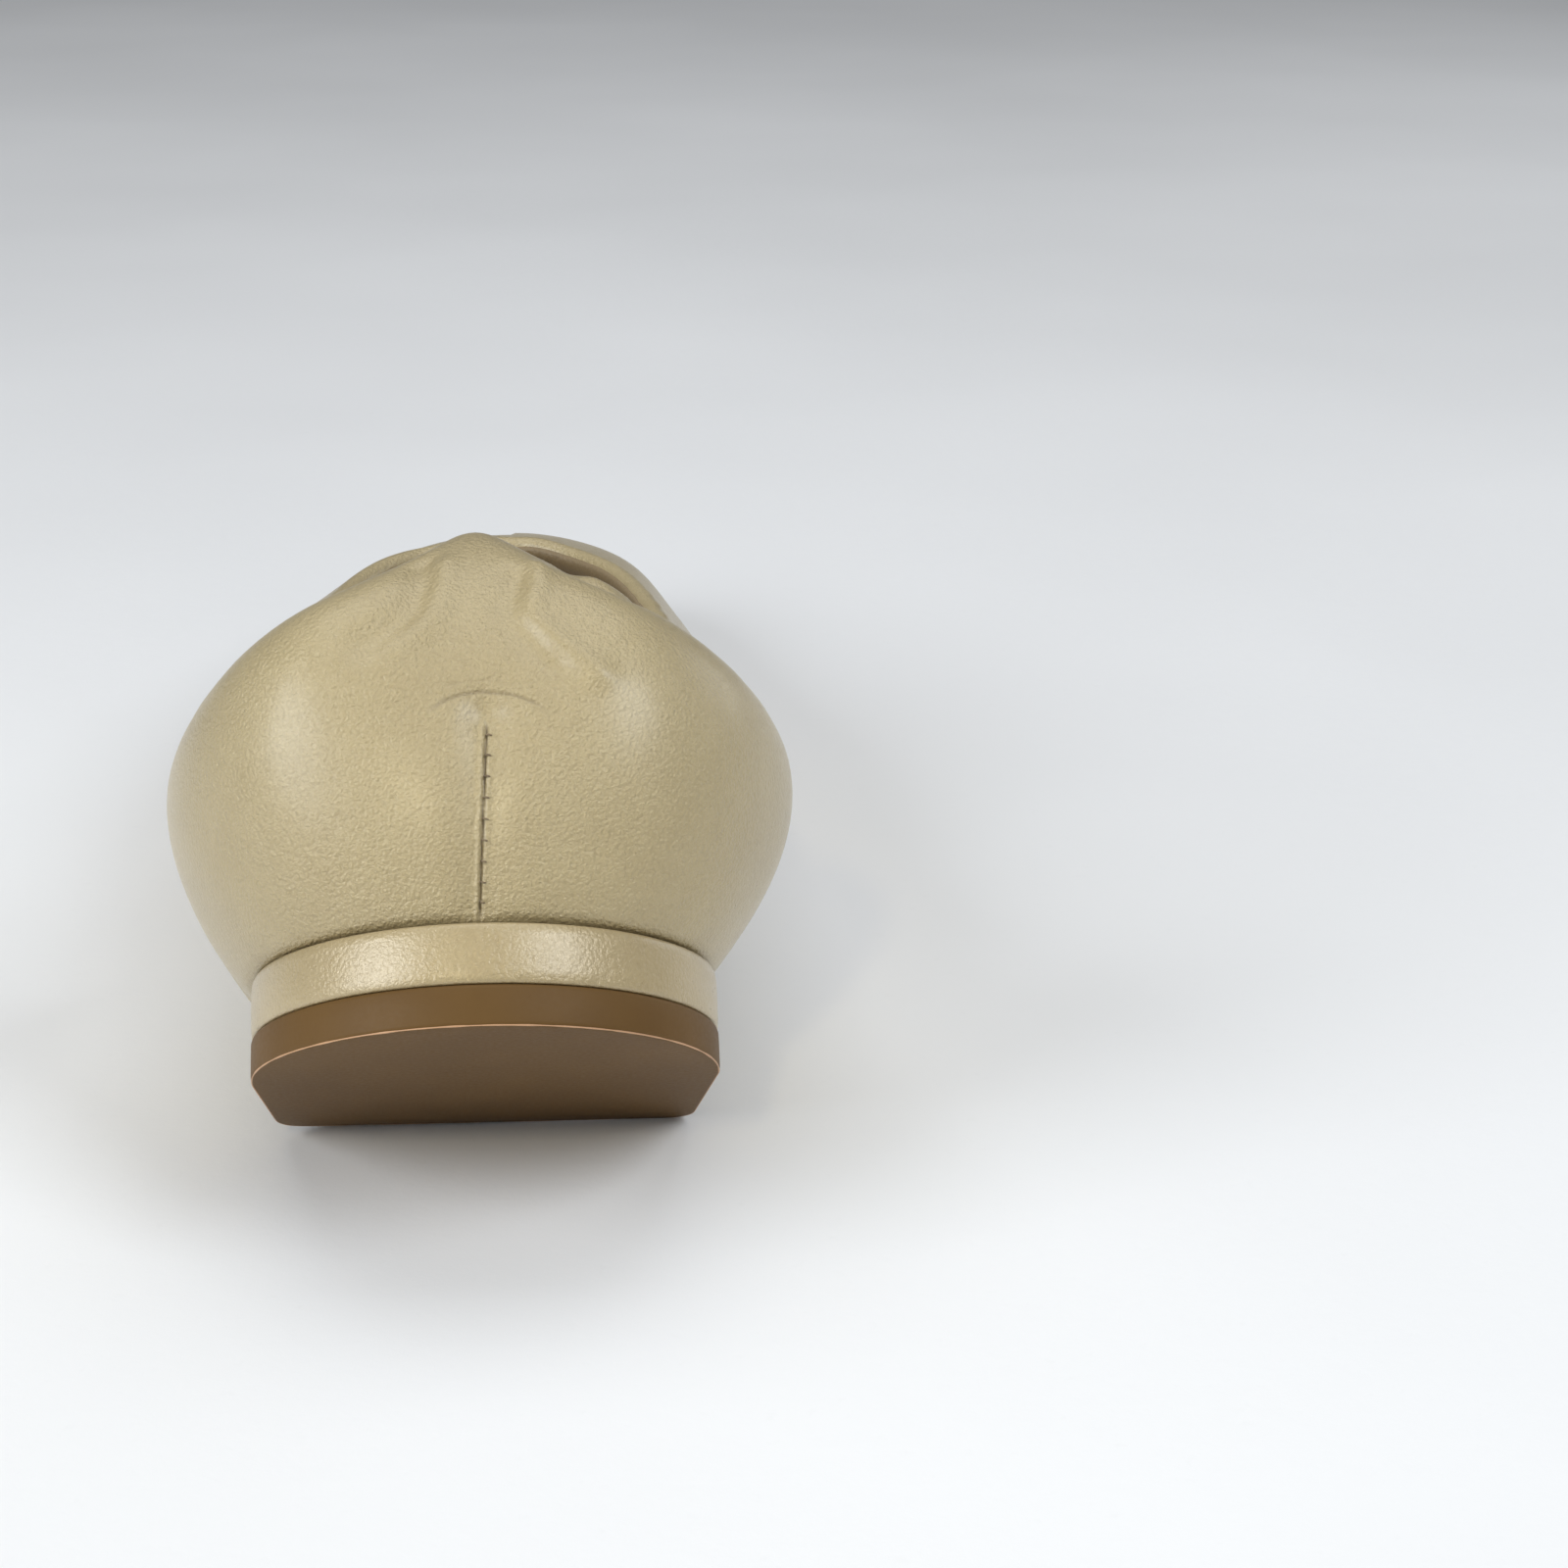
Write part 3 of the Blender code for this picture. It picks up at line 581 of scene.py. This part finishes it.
tape_skin = woven_material("elastic_tape_weave", (0.78, 0.74, 0.68), (0.62, 0.58, 0.52), 1.4, 0.08)
thread_skin = smooth_material("stitch_thread_twist", (0.30, 0.225, 0.13), (0.17, 0.12, 0.065),
                              {"Sheen Weight": 0.2}, (5.0, 0.05), (0.7, 0.9))
tone_thread_skin = smooth_material("topline_thread_twist", (0.56, 0.48, 0.33), (0.42, 0.35, 0.22),
                                   {"Sheen Weight": 0.2}, (5.0, 0.05), (0.7, 0.9))


# ---- Leather pieces ----

def columns_of(low, high, per_rib, fine=(), fine_per_rib=120):
    """Rib values across a stretch, closer together where there is fine detail."""
    values = [np.linspace(low, high, round((high - low) * per_rib) + 1)]
    for start, end in fine:
        values.append(np.linspace(start, end, round((end - start) * fine_per_rib) + 1))
    merged = np.unique(np.concatenate(values).round(4))
    keep = np.concatenate([[True], np.diff(merged) > 0.003])
    return merged[keep]


def rolled_sheet(u, heights, depth, turn):
    """Points of leather: tucked in below, up the wall, and rolled over the topline.

    depth and turn say, for each rib, how far in it lies and how far it rolls over.
    """
    base, inward, rise = wall_axes(u, heights)
    stands = relief(u[:, None], heights[None, :]) - depth[:, None]
    rows = base - inward * stands[..., None]
    tuck = tucked_edge(u, rows[:, 0])
    top = rolled_edge(rows[:, -1], inward[:, -1], rise[:, -1], ROLL_RADIUS - depth, turn)
    return np.concatenate([tuck, rows, top], axis=1)


def tucked_edge(u, edge):
    """From the wall's first row round to the underside, a little way in under the foot."""
    seam, belly, _, _ = rib_handles(u)
    outward = belly - seam
    outward[:, 2] = 0
    outward /= np.linalg.norm(outward, axis=1)[:, None]
    end = seam - outward * TUCK
    turns = np.linspace(1, 0, TUCK_ROWS + 1)[:-1]
    return np.stack([edge * (1 - t) ** 2 + seam * 2 * t * (1 - t) + end * t * t for t in turns], axis=1)


def rolled_edge(edge, inward, rise, radius, turn):
    middle = edge + inward * radius[:, None]
    rows = []
    for share in np.linspace(0, 1, ROLL_ROWS + 1)[1:]:
        angle = (turn * share)[:, None]
        rows.append(middle + (rise * np.sin(angle) - inward * np.cos(angle)) * radius[:, None])
    return np.stack(rows, axis=1)


WALL_HEIGHTS = np.concatenate([np.linspace(WALL_START, 0.39, 30), np.linspace(0.39, 0.53, 40)[1:],
                               np.linspace(0.53, 0.7, 15)[1:], np.linspace(0.7, 1.0, 36)[1:]])


def seam_shade(u):
    """Painted shade: darker leather in the groove of the back seam and in the fine creases."""
    near, heights = side(u)[:, None], WALL_HEIGHTS[None, :]
    across, within = dart_across(near, heights)
    # painted shade in the back seam's groove and in the creases
    shade = 0.75 * bump(across, 0.11) * within + 0.45 * crease(near, heights)
    return np.pad(np.clip(shade, 0, 1), ((0, 0), (TUCK_ROWS, ROLL_ROWS)))


def leather_piece(name, u, depth, turn, thickness, stands_for):
    points = rolled_sheet(u, WALL_HEIGHTS, depth, turn)
    obj = new_piece(name, points, grid_faces(len(u), points.shape[1]), at_rest, upper_skin)
    set_share(obj, "seam_shade", seam_shade(u))
    thicken(obj, thickness, -1)
    return finish_piece(obj, stands_for=stands_for)


def quarter_leather():
    u = columns_of(-SIDE_SEAM, SIDE_SEAM, 28, [(-0.48, 0.36), (-0.09, 0.04)])
    flat = np.zeros(len(u))
    return leather_piece("quarter_leather", u, flat, flat + ROLL_TURN, QUARTER_THICKNESS,
                         ["quarter_upper"])


def vamp_leather():
    """The front of the upper; its ends lie under the quarter and don't roll over there."""
    u = columns_of(SIDE_SEAM - LAP, AROUND - SIDE_SEAM + LAP, 24)
    past = SIDE_SEAM - abs(side(u))
    depth = LAP_DEPTH * ramp((past + 0.22) / 0.22) + 0.04
    turn = ROLL_TURN * (1 - 0.97 * ramp((past - 0.01) / 0.05))
    return leather_piece("vamp_leather", u, depth, turn, VAMP_THICKNESS, ["vamp_upper"])


def ring_columns(per_rib):
    return np.arange(AROUND * per_rib) / per_rib


def lining():
    """The brown lining, with shallow drag lines where it follows the curl of the waist."""
    u = ring_columns(20)
    heights = np.linspace(WALL_START, 0.93, 46)
    base, inward, _ = wall_axes(u, heights)
    loose = 0.35 * gathers(u[:, None], heights[None, :] * 0.97)
    waist = bump(abs(side(u)) - 3.4, 0.5)[:, None]
    loose = loose + 0.18 * waist * np.sin(heights[None, :] * 30 + u[:, None] * 7)
    loose = np.clip(loose, -0.35, 0.35)
    points = base + inward * (LINING_DEPTH - loose)[..., None]
    faces = grid_faces(len(u), len(heights), closed_rows=True)
    obj = new_piece("slipper_lining", points, faces, at_rest, lining_skin)
    set_no_shade(obj)
    thicken(obj, LINING_THICKNESS, -1)
    return finish_piece(obj, stands_for=["quarter_lining", "vamp_lining"])


FACING_ROWS = ((0.55, 1.1), (1.15, 0.9), (1.55, 0.3), (1.68, -0.5))


def facing():
    """The rolled topline's inner side: a gathered strip, sewn down to the lining."""
    u = ring_columns(28)
    base, inward, rise = wall_axes(u, np.array([1.0]))
    edge, inward, rise = base[:, 0], inward[:, 0], rise[:, 0]
    stands = relief(u, np.ones(len(u)))
    middle = edge + inward * (ROLL_RADIUS - stands[:, None])
    strip = [middle + inward * a + rise * b for a, b in FACING_ROWS]
    puff = 0.5 + 0.5 * np.cos(gather_phase(side(u)))
    for drop in np.linspace(1.3, FACING_DROP, 9):
        height = np.array([1 - drop / RIB_LENGTH])
        low, normal, _ = wall_axes(u, height)
        sewn = bump(drop - FACING_DROP + SEWING_ROW, 0.8)
        full = 0.15 + 0.5 * puff * gather_amount(u) * (1 - 0.8 * sewn) + 0.25 * (1 - sewn)
        depth = LINING_DEPTH + LINING_THICKNESS + 0.45 + full
        strip.append(low[:, 0] + normal[:, 0] * depth[:, None])
    points = np.stack(strip, axis=1)
    faces = grid_faces(len(u), points.shape[1], closed_rows=True)
    obj = new_piece("topline_facing", points, faces, at_rest, facing_shaded_skin)
    set_no_shade(obj)
    thicken(obj, 0.4, 1)
    return finish_piece(obj, stands_for=["quarter_binding", "vamp_binding"])


def elastic():
    """The tape inside the rolled topline that curls the slipper up."""
    u = ring_columns(20)
    heights = np.linspace(0.94, 0.99, 5)
    base, inward, _ = wall_axes(u, heights)
    ribs = 0.06 * np.cos(heights * RIB_LENGTH * 2 * math.pi / 1.2)[None, :]
    stands = relief(u[:, None], heights[None, :])
    points = base + inward * (1.75 + ribs - 0.8 * stands)[..., None]
    faces = grid_faces(len(u), len(heights), closed_rows=True)
    obj = new_piece("topline_elastic", points, faces, at_rest, tape_skin)
    thicken(obj, 0.4, 0)
    return finish_piece(obj, stands_for=["heel_elastic", "throat_elastic"])


# ---- Layers of the sole ----

def plan_outline(height, depth):
    """Where the inside of the wall stands at a height over the seam: x of each side by y."""
    count, samples = 360, 60
    u = np.arange(count) * AROUND / count
    heights = np.linspace(0.0, 0.6, samples)
    base, inward, _ = wall_axes(u, heights)
    curves = base + inward * depth
    over = curves[..., 2] - seam_height(curves[..., 1])
    first = np.argmax(over >= height, axis=1)
    low = np.maximum(first - 1, 0)
    pick = np.arange(count)
    run = over[pick, first] - over[pick, low]
    f = np.where(first > 0, (height - over[pick, low]) / np.where(run == 0, 1, run), 0)
    points = curves[pick, low] * (1 - f[:, None]) + curves[pick, first] * f[:, None]
    half = count // 2
    return points[1:half, :2], points[half + 1:, :2][::-1], points[0, 1], points[half, 1]


def sheet_rows(start, end, count):
    """Places along the slipper, closer together at the two ends."""
    turns = np.linspace(0, math.pi, count)
    return start + (end - start) * (1 - np.cos(turns)) / 2


def layer_face(height, depth, inset, y_range, rows, columns):
    """One face of a layer: its points, and how far across each lies, from -1 to 1."""
    outer, inner, rear, front = plan_outline(max(height, 0.0), depth)
    ends = inset(np.array([y_range[0], y_range[1]]))
    ys = sheet_rows(max(y_range[0], rear + ends[0] + 0.15), min(y_range[1], front - ends[1] - 0.2), rows)
    left = np.interp(ys, outer[:, 1], outer[:, 0]) + inset(ys)
    right = np.interp(ys, inner[:, 1], inner[:, 0]) - inset(ys)
    right = np.maximum(right, left + 0.4)
    across = np.sin(np.linspace(-math.pi / 2, math.pi / 2, columns))[None, :]
    x = (left + right)[:, None] / 2 + (right - left)[:, None] / 2 * across
    y = np.repeat(ys[:, None], columns, axis=1)
    return np.stack([x, y, seam_height(y) + height], -1), across


Layer = namedtuple("Layer", "low high depth inset y_range rows columns")


def layer_piece(name, layer, material, shape_low=None, shape_high=None):
    """A closed plate between two heights over the seam; the shapes lift or lower its faces."""
    parts = []
    for height, shape in ((layer.low, shape_low), (layer.high, shape_high)):
        points, across = layer_face(height, layer.depth, layer.inset, layer.y_range,
                                    layer.rows, layer.columns)
        if shape is not None:
            points[..., 2] += shape(points[..., 0], points[..., 1], across)
        parts.append(points.reshape(-1, 3))
    rows, columns = layer.rows, layer.columns
    count = rows * columns
    faces = grid_faces(rows, columns) + grid_faces(rows, columns, count)
    rim = ([c for c in range(columns)] + [r * columns + columns - 1 for r in range(1, rows)]
           + [count - 1 - c for c in range(1, columns)] + [r * columns for r in range(rows - 2, 0, -1)])
    for a, b in zip(rim, rim[1:] + rim[:1]):
        faces.append((a, b, b + count, a + count))
    obj = new_piece(name, np.concatenate(parts), faces, at_rest, material)
    face_out(obj)
    return obj


def even(value):
    return lambda y: np.full(np.shape(y), float(value))


def cover_inset(y):
    """The sole's cover goes in under the heel's leather at the back."""
    return 0.35 + 1.4 * (1 - ramp((y - SEAT_END) / 12.0))


def height_between(rear, fore):
    """A step from the thicker seat of the footbed down to its front."""
    return lambda x, y, across: (rear - fore) * (1 - ramp((y - SEAT_END) / 22.0)) + 0 * x


def crowned(rear, fore, crown):
    step = height_between(rear, fore)
    return lambda x, y, across: (step(x, y, across) - crown * abs(across) ** 6
                                 + 0.12 * np.sin(y * 0.31) * np.sin(x * 0.23 + 1.0))


def tread_grooves(x, y, across):
    """Fine cross ribs in the tread, inside a plain rim."""
    inside = ramp((0.86 - abs(across)) / 0.08) * ramp((y - TREAD_START - 4) / 2)
    inside = inside * ramp((LENGTH - 12 - y) / 4)
    rib = ramp((np.cos(2 * math.pi * (y + 0.02 * x * x) / 3.2) + 0.1) / 0.7)
    return 0.55 * inside * (1 - rib)


def sole_pieces():
    whole = (0.0, LENGTH)
    seat_rise, crown = 1.2, 0.3
    footbed = crowned(seat_rise, 0.0, crown)
    cover = layer_piece("sole_cover", Layer(-1.15, -0.05, 0.0, cover_inset, whole, 150, 21), cover_skin)
    soften(cover, 0.3)
    finish_piece(cover, stands_for=["sole_cover_rear", "sole_cover_fore"])
    tread = layer_piece("tread", Layer(-SOLE_LEVEL, -1.25, 0.0, even(1.2), (TREAD_START, LENGTH), 420, 25),
                        tread_skin, shape_low=tread_grooves)
    soften(tread, 0.45, 3)
    finish_piece(tread, FORE, ["tread_pad"])
    board = layer_piece("insole_board", Layer(0.05, 1.4, 3.3, even(0.1), whole, 110, 15), board_skin)
    soften(board, 0.25)
    finish_piece(board, stands_for=["insole_board_rear", "insole_board_fore"])
    cushion = layer_piece("footbed_cushion", Layer(1.5, 4.1, 3.3, even(0.1), whole, 110, 17), foam_skin,
                          shape_high=footbed)
    soften(cushion, 0.6)
    finish_piece(cushion, stands_for=["heel_pad", "forepart_cushion"])
    sock = layer_piece("footbed_sock", Layer(4.25, 5.0, 3.15, even(0.05), whole, 170, 31), sock_skin,
                       footbed, footbed)
    set_no_shade(sock)
    soften(sock, 0.25)
    finish_piece(sock, stands_for=["heel_sock", "forepart_sock"])


# ---- The heel ----

def arc(before, corner, after, radius, steps):
    """A quadratic arc that replaces a corner."""
    before, corner, after = (np.array(p, float) for p in (before, corner, after))
    start = corner + (before - corner) / np.linalg.norm(before - corner) * radius
    end = corner + (after - corner) / np.linalg.norm(after - corner) * radius
    t = np.linspace(0, 1, steps + 1)[:, None]
    return start * (1 - t) ** 2 + corner * 2 * t * (1 - t) + end * t * t


def heel_outline(inset):
    """The heel's D-shaped plan: round at the back, nearly straight across its front."""
    half = SEAT_HALF_WIDTH - inset
    depth = HEEL_ROUND_END - HEEL_REAR_Y - inset
    turns = np.linspace(0, math.pi, 121)
    back = np.stack([half * np.cos(turns), HEEL_ROUND_END - depth * np.sin(turns)], 1)
    outer_corner = (-(half - 1.0), BREAST_Y - 1.0 - inset)
    inner_corner = (half - 2.2, BREAST_Y + 1.0 - inset)
    radius, steps = 4, 9
    first = arc(back[-1], outer_corner, inner_corner, radius, steps)
    second = arc(outer_corner, inner_corner, back[0], radius, steps)
    front = first[-1] + (second[0] - first[-1]) * np.linspace(0, 1, 30)[1:-1, None]
    return np.concatenate([back, first, front, second])


def swept_heel(name, profile, material, closed):
    """A piece that follows the heel's plan; the profile holds insets and heights."""
    loops = []
    for inset, z in profile:
        outline = heel_outline(inset)
        loops.append(np.column_stack([outline, np.full(len(outline), z)]))
    count = len(loops[0])
    faces = grid_faces(len(loops), count, closed_columns=True, closed_rows=closed)
    points = np.concatenate(loops)
    if not closed:
        points, faces = capped(points, faces, loops, count)
    obj = new_piece(name, points, faces, on_heel, material)
    face_out(obj)
    return obj


def capped(points, faces, loops, count):
    """Fills the first and last loop with rings that close in on their middle."""
    for loop, base in ((loops[0], 0), (loops[-1], (len(loops) - 1) * count)):
        middle = loop.mean(axis=0)
        previous = base
        for share in (0.9, 0.7, 0.45, 0.2):
            start = len(points)
            points = np.concatenate([points, middle + (loop - middle) * share])
            faces += [(previous + c, previous + (c + 1) % count, start + (c + 1) % count, start + c)
                      for c in range(count)]
            previous = start
        points = np.concatenate([points, middle[None, :]])
        faces += [(previous + c, previous + (c + 1) % count, len(points) - 1) for c in range(count)]
    return points, faces


def heel_pieces():
    low, high = LIFT_THICKNESS + 0.08, HEEL_HEIGHT - 0.12
    wrap_profile = ((1.15, low + 0.1), (0.55, low), (0.22, low + 0.1), (0.08, low + 0.4),
                    (0.02, low + 1.6), (0.0, (low + high) / 2), (0.02, high - 1.3), (0.10, high - 0.5),
                    (0.30, high - 0.14), (0.62, high), (1.0, high - 0.12), (1.15, high - 0.5))
    wrap = swept_heel("heel_wrap", wrap_profile, heel_skin, closed=True)
    set_no_shade(wrap)
    finish_piece(wrap, HEEL, ["heel_cover"])
    top = LIFT_THICKNESS
    lift_profile = ((0.45, 0.0), (0.22, 0.04), (0.06, 0.22), (0.0, 0.6), (0.0, top / 2),
                    (0.02, top - 0.5), (0.12, top - 0.2), (0.40, top))
    lift = swept_heel("heel_lift", lift_profile, lift_skin, closed=False)
    finish_piece(lift, HEEL, ["top_lift"])
    finish_piece(lift_flash(), HEEL)


def lift_flash():
    """A thin pale line of moulding flash along the lift's lower edge, uneven in places."""
    outline = heel_outline(0.16)
    count = len(outline)
    turn = np.arange(count) / count * 2 * math.pi
    radius = 0.10 + 0.03 * np.sin(turn * 23) * np.sin(turn * 7 + 1) + 0.05 * bump(turn - 1.4, 0.03)
    middle = np.column_stack([outline, np.full(count, 0.12)])
    outward = outline - outline.mean(axis=0)
    outward = np.column_stack([outward / np.linalg.norm(outward, axis=1)[:, None], np.zeros(count)])
    loops = []
    for angle in np.linspace(0, 2 * math.pi, 7)[:-1]:
        ring = middle + outward * (radius * math.cos(angle))[:, None]
        ring[:, 2] += radius * math.sin(angle)
        loops.append(ring)
    points = np.concatenate(loops)
    faces = grid_faces(len(loops), count, closed_columns=True, closed_rows=True)
    obj = new_piece("lift_edge_flash", points, faces, on_heel, flash_skin)
    face_out(obj)
    return obj


# ---- Stitches ----

def stitch_mesh(name, stitches, radius, material):
    """Short rounded stitches; each is a line of flat-frame points."""
    sides = 6
    points, faces = [], []
    for line in stitches:
        line = np.asarray(line, float)
        start = len(points)
        along = np.gradient(line, axis=0)
        along /= np.linalg.norm(along, axis=1)[:, None]
        helper = np.array([0.3, 0.5, 0.81])
        first = np.cross(along, helper)
        first /= np.linalg.norm(first, axis=1)[:, None]
        second = np.cross(along, first)
        shares = np.sqrt(np.clip(1 - np.linspace(-0.96, 0.96, len(line)) ** 4, 0.05, 1))
        for k in range(len(line)):
            for angle in np.arange(sides) * 2 * math.pi / sides:
                spoke = first[k] * math.cos(angle) + second[k] * math.sin(angle)
                points.append(line[k] + spoke * radius * shares[k])
        faces += grid_faces(len(line), sides, start, closed_columns=True)
        faces.append(tuple(start + k for k in range(sides)))
        faces.append(tuple(start + (len(line) - 1) * sides + k for k in reversed(range(sides))))
    obj = new_piece(name, points, faces, at_rest, material)
    face_out(obj)
    return obj


def surface_line(u, s, lift):
    """Points on the relief of the leather, a little above it."""
    base, inward, _ = wall_axes(np.array([u]), np.array([s]))
    stands = relief(np.array([u]), np.array([s]))[0]
    return base[0, 0] - inward[0, 0] * (stands + lift)


def dart_stitches():
    """Small stitches that cross the groove of the back seam."""
    stitches = []
    for k in range(DART_STITCHES):
        s = DART_START + 0.025 + (DART_END - DART_START - 0.045) * k / (DART_STITCHES - 1)
        middle = -DART_LEAN * (s - DART_START) / (DART_END - DART_START)
        line = []
        for share in np.linspace(-1, 1, 7):
            u = middle - 0.010 + 0.020 * share
            sink = -0.22 if abs(share) > 0.9 else 0.05
            base, inward, _ = wall_axes(np.array([u]), np.array([s + 0.0015 * share]))
            smooth = relief(np.array([u]), np.array([s]))[0] + 0.36 * bump(share, 0.45)
            line.append(base[0, 0] - inward[0, 0] * (smooth + sink))
        stitches.append(line)
    obj = stitch_mesh("dart_stitches", stitches, DART_THREAD_RADIUS, thread_skin)
    return finish_piece(obj, HEEL, ["dart_thread"])


def side_seam_stitches():
    """Two rows along each side seam of the quarter."""
    stitches = []
    for edge in (SIDE_SEAM, AROUND - SIDE_SEAM):
        back = -1 if edge < AROUND / 2 else 1
        for row in (0.045, 0.10):
            u = edge + back * row
            for s in np.arange(0.06, 0.95, 0.052):
                heights = s + np.linspace(0, 0.038, 6)
                sinks = (-0.2, 0.05, 0.09, 0.09, 0.05, -0.2)
                stitches.append([surface_line(u, h, d) for h, d in zip(heights, sinks)])
    obj = stitch_mesh("side_seam_stitches", stitches, SIDE_THREAD_RADIUS, tone_thread_skin)
    return finish_piece(obj)


def topline_stitches():
    """One row round the inside that sews the facing to the lining."""
    height = np.array([1 - (FACING_DROP - SEWING_ROW) / RIB_LENGTH])
    depth = LINING_DEPTH + LINING_THICKNESS + 0.66
    stitches = []
    for start in np.arange(0, AROUND, 0.125):
        u = start + np.linspace(0, 0.085, 6)
        base, inward, _ = wall_axes(u, height)
        sinks = np.array([-0.25, 0.02, 0.06, 0.06, 0.02, -0.25])
        stitches.append(base[:, 0] + inward[:, 0] * (depth + sinks)[:, None])
    obj = stitch_mesh("topline_stitches", stitches, TOPLINE_THREAD_RADIUS, tone_thread_skin)
    return finish_piece(obj)


# ---- CAD nodes that stay, inside the slipper ----

def dress_cad_nodes():
    looks = {
        "heel_counter": cad_material("counter_board", (0.46, 0.37, 0.25), (0.36, 0.28, 0.18), 0.85),
        "heel_block": cad_material("heel_block_plastic", (0.70, 0.66, 0.58), (0.62, 0.58, 0.50), 0.5),
        "heel_nail": cad_material("nail_steel_worn", (0.56, 0.56, 0.58), (0.42, 0.42, 0.44), 0.35, 1.0),
    }
    looks["toe_puff"] = looks["heel_counter"]
    for name, node in frame["nodes"].items():
        for start, material in looks.items():
            if name.startswith(start):
                node.data.materials.clear()
                node.data.materials.append(material)


# ---- Floor, light and camera ----

def floor():
    """A round, plain, pale floor, finer near the slipper."""
    rings, spokes = 14, 96
    radii = np.concatenate([[20.0], np.geomspace(200.0, 4000.0, rings - 1)])
    angles = np.arange(spokes) * 2 * math.pi / spokes
    points = [(r * math.cos(a), r * math.sin(a), 0.0) for r in radii for a in angles]
    faces = grid_faces(rings, spokes, closed_columns=True)
    faces.append(tuple(range(spokes)))
    n = Nodes("studio_floor", {"Specular IOR Level": 0.3})
    place = n.place()
    cloud = n.noise(place, 0.004, 3.0)
    speck = n.noise(place, 0.35, 5.0, 0.7)
    colour = n.blend(n.span(cloud, 0.35, 0.65, 0.0, 1.0), (0.80, 0.80, 0.805), (0.86, 0.86, 0.865))
    colour = n.blend(n.span(speck, 0.60, 0.8, 0.0, 0.12), colour, (0.60, 0.60, 0.59))
    material = n.use(colour, n.span(speck, 0.3, 0.7, 0.5, 0.6), n.relief(speck, 0.05))
    obj = new_piece("studio_floor", points, faces, lambda p: p * MM, material)
    face_out(obj)


def area_light(name, place, target, size, power, colour):
    data = bpy.data.lights.new(name, "AREA")
    data.shape = "RECTANGLE"
    data.size, data.size_y = size
    data.energy = power
    data.color = colour
    obj = bpy.data.objects.new(name, data)
    bpy.context.scene.collection.objects.link(obj)
    obj.location = place
    aim = Vector(target) - Vector(place)
    obj.rotation_euler = aim.to_track_quat("-Z", "Y").to_euler()


def studio():
    world = bpy.data.worlds.new("studio_air")
    bpy.context.scene.world = world
    world.use_nodes = True
    background = world.node_tree.nodes["Background"]
    background.inputs["Color"].default_value = (0.93, 0.96, 1.0, 1)
    background.inputs["Strength"].default_value = 0.18
    middle = (0, -0.08, 0.04)
    area_light("overhead_softbox", (0.0, 0.25, 1.3), (0, 0, 0), (1.4, 1.0), 7.2, (0.98, 0.99, 1.0))
    area_light("left_softbox", (-0.85, -0.50, 0.55), middle, (0.58, 0.58), 7.9, (0.90, 0.95, 1.0))
    area_light("right_softbox", (0.60, -0.55, 0.75), middle, (0.44, 0.44), 5.0, (0.90, 0.95, 1.0))
    area_light("far_softbox", (0.95, 0.60, 0.30), middle, (0.5, 0.4), 1.2, (0.92, 0.96, 1.0))
    area_light("front_lamp", (-0.20, -0.80, 0.62), middle, (0.06, 0.06), 1.0, (1.0, 0.86, 0.55))
    scene = bpy.context.scene
    scene.view_settings.view_transform = "Standard"
    scene.view_settings.look = "None"


def camera():
    data = bpy.data.cameras.new("photo_camera")
    data.lens = CAMERA_LENS
    data.sensor_width = 36.0
    obj = bpy.data.objects.new("photo_camera", data)
    bpy.context.scene.collection.objects.link(obj)
    yaw = Matrix.Rotation(-math.radians(CAMERA_YAW), 4, "Z")
    pitch = Matrix.Rotation(math.radians(90 - CAMERA_PITCH), 4, "X")
    roll = Matrix.Rotation(math.radians(CAMERA_ROLL), 4, "Z")
    obj.matrix_world = Matrix.Translation(CAMERA_PLACE) @ yaw @ pitch @ roll
    bpy.context.scene.camera = obj


def main():
    quarter_leather()
    vamp_leather()
    lining()
    facing()
    elastic()
    sole_pieces()
    heel_pieces()
    dart_stitches()
    side_seam_stitches()
    topline_stitches()
    dress_cad_nodes()
    floor()
    studio()
    camera()


main()
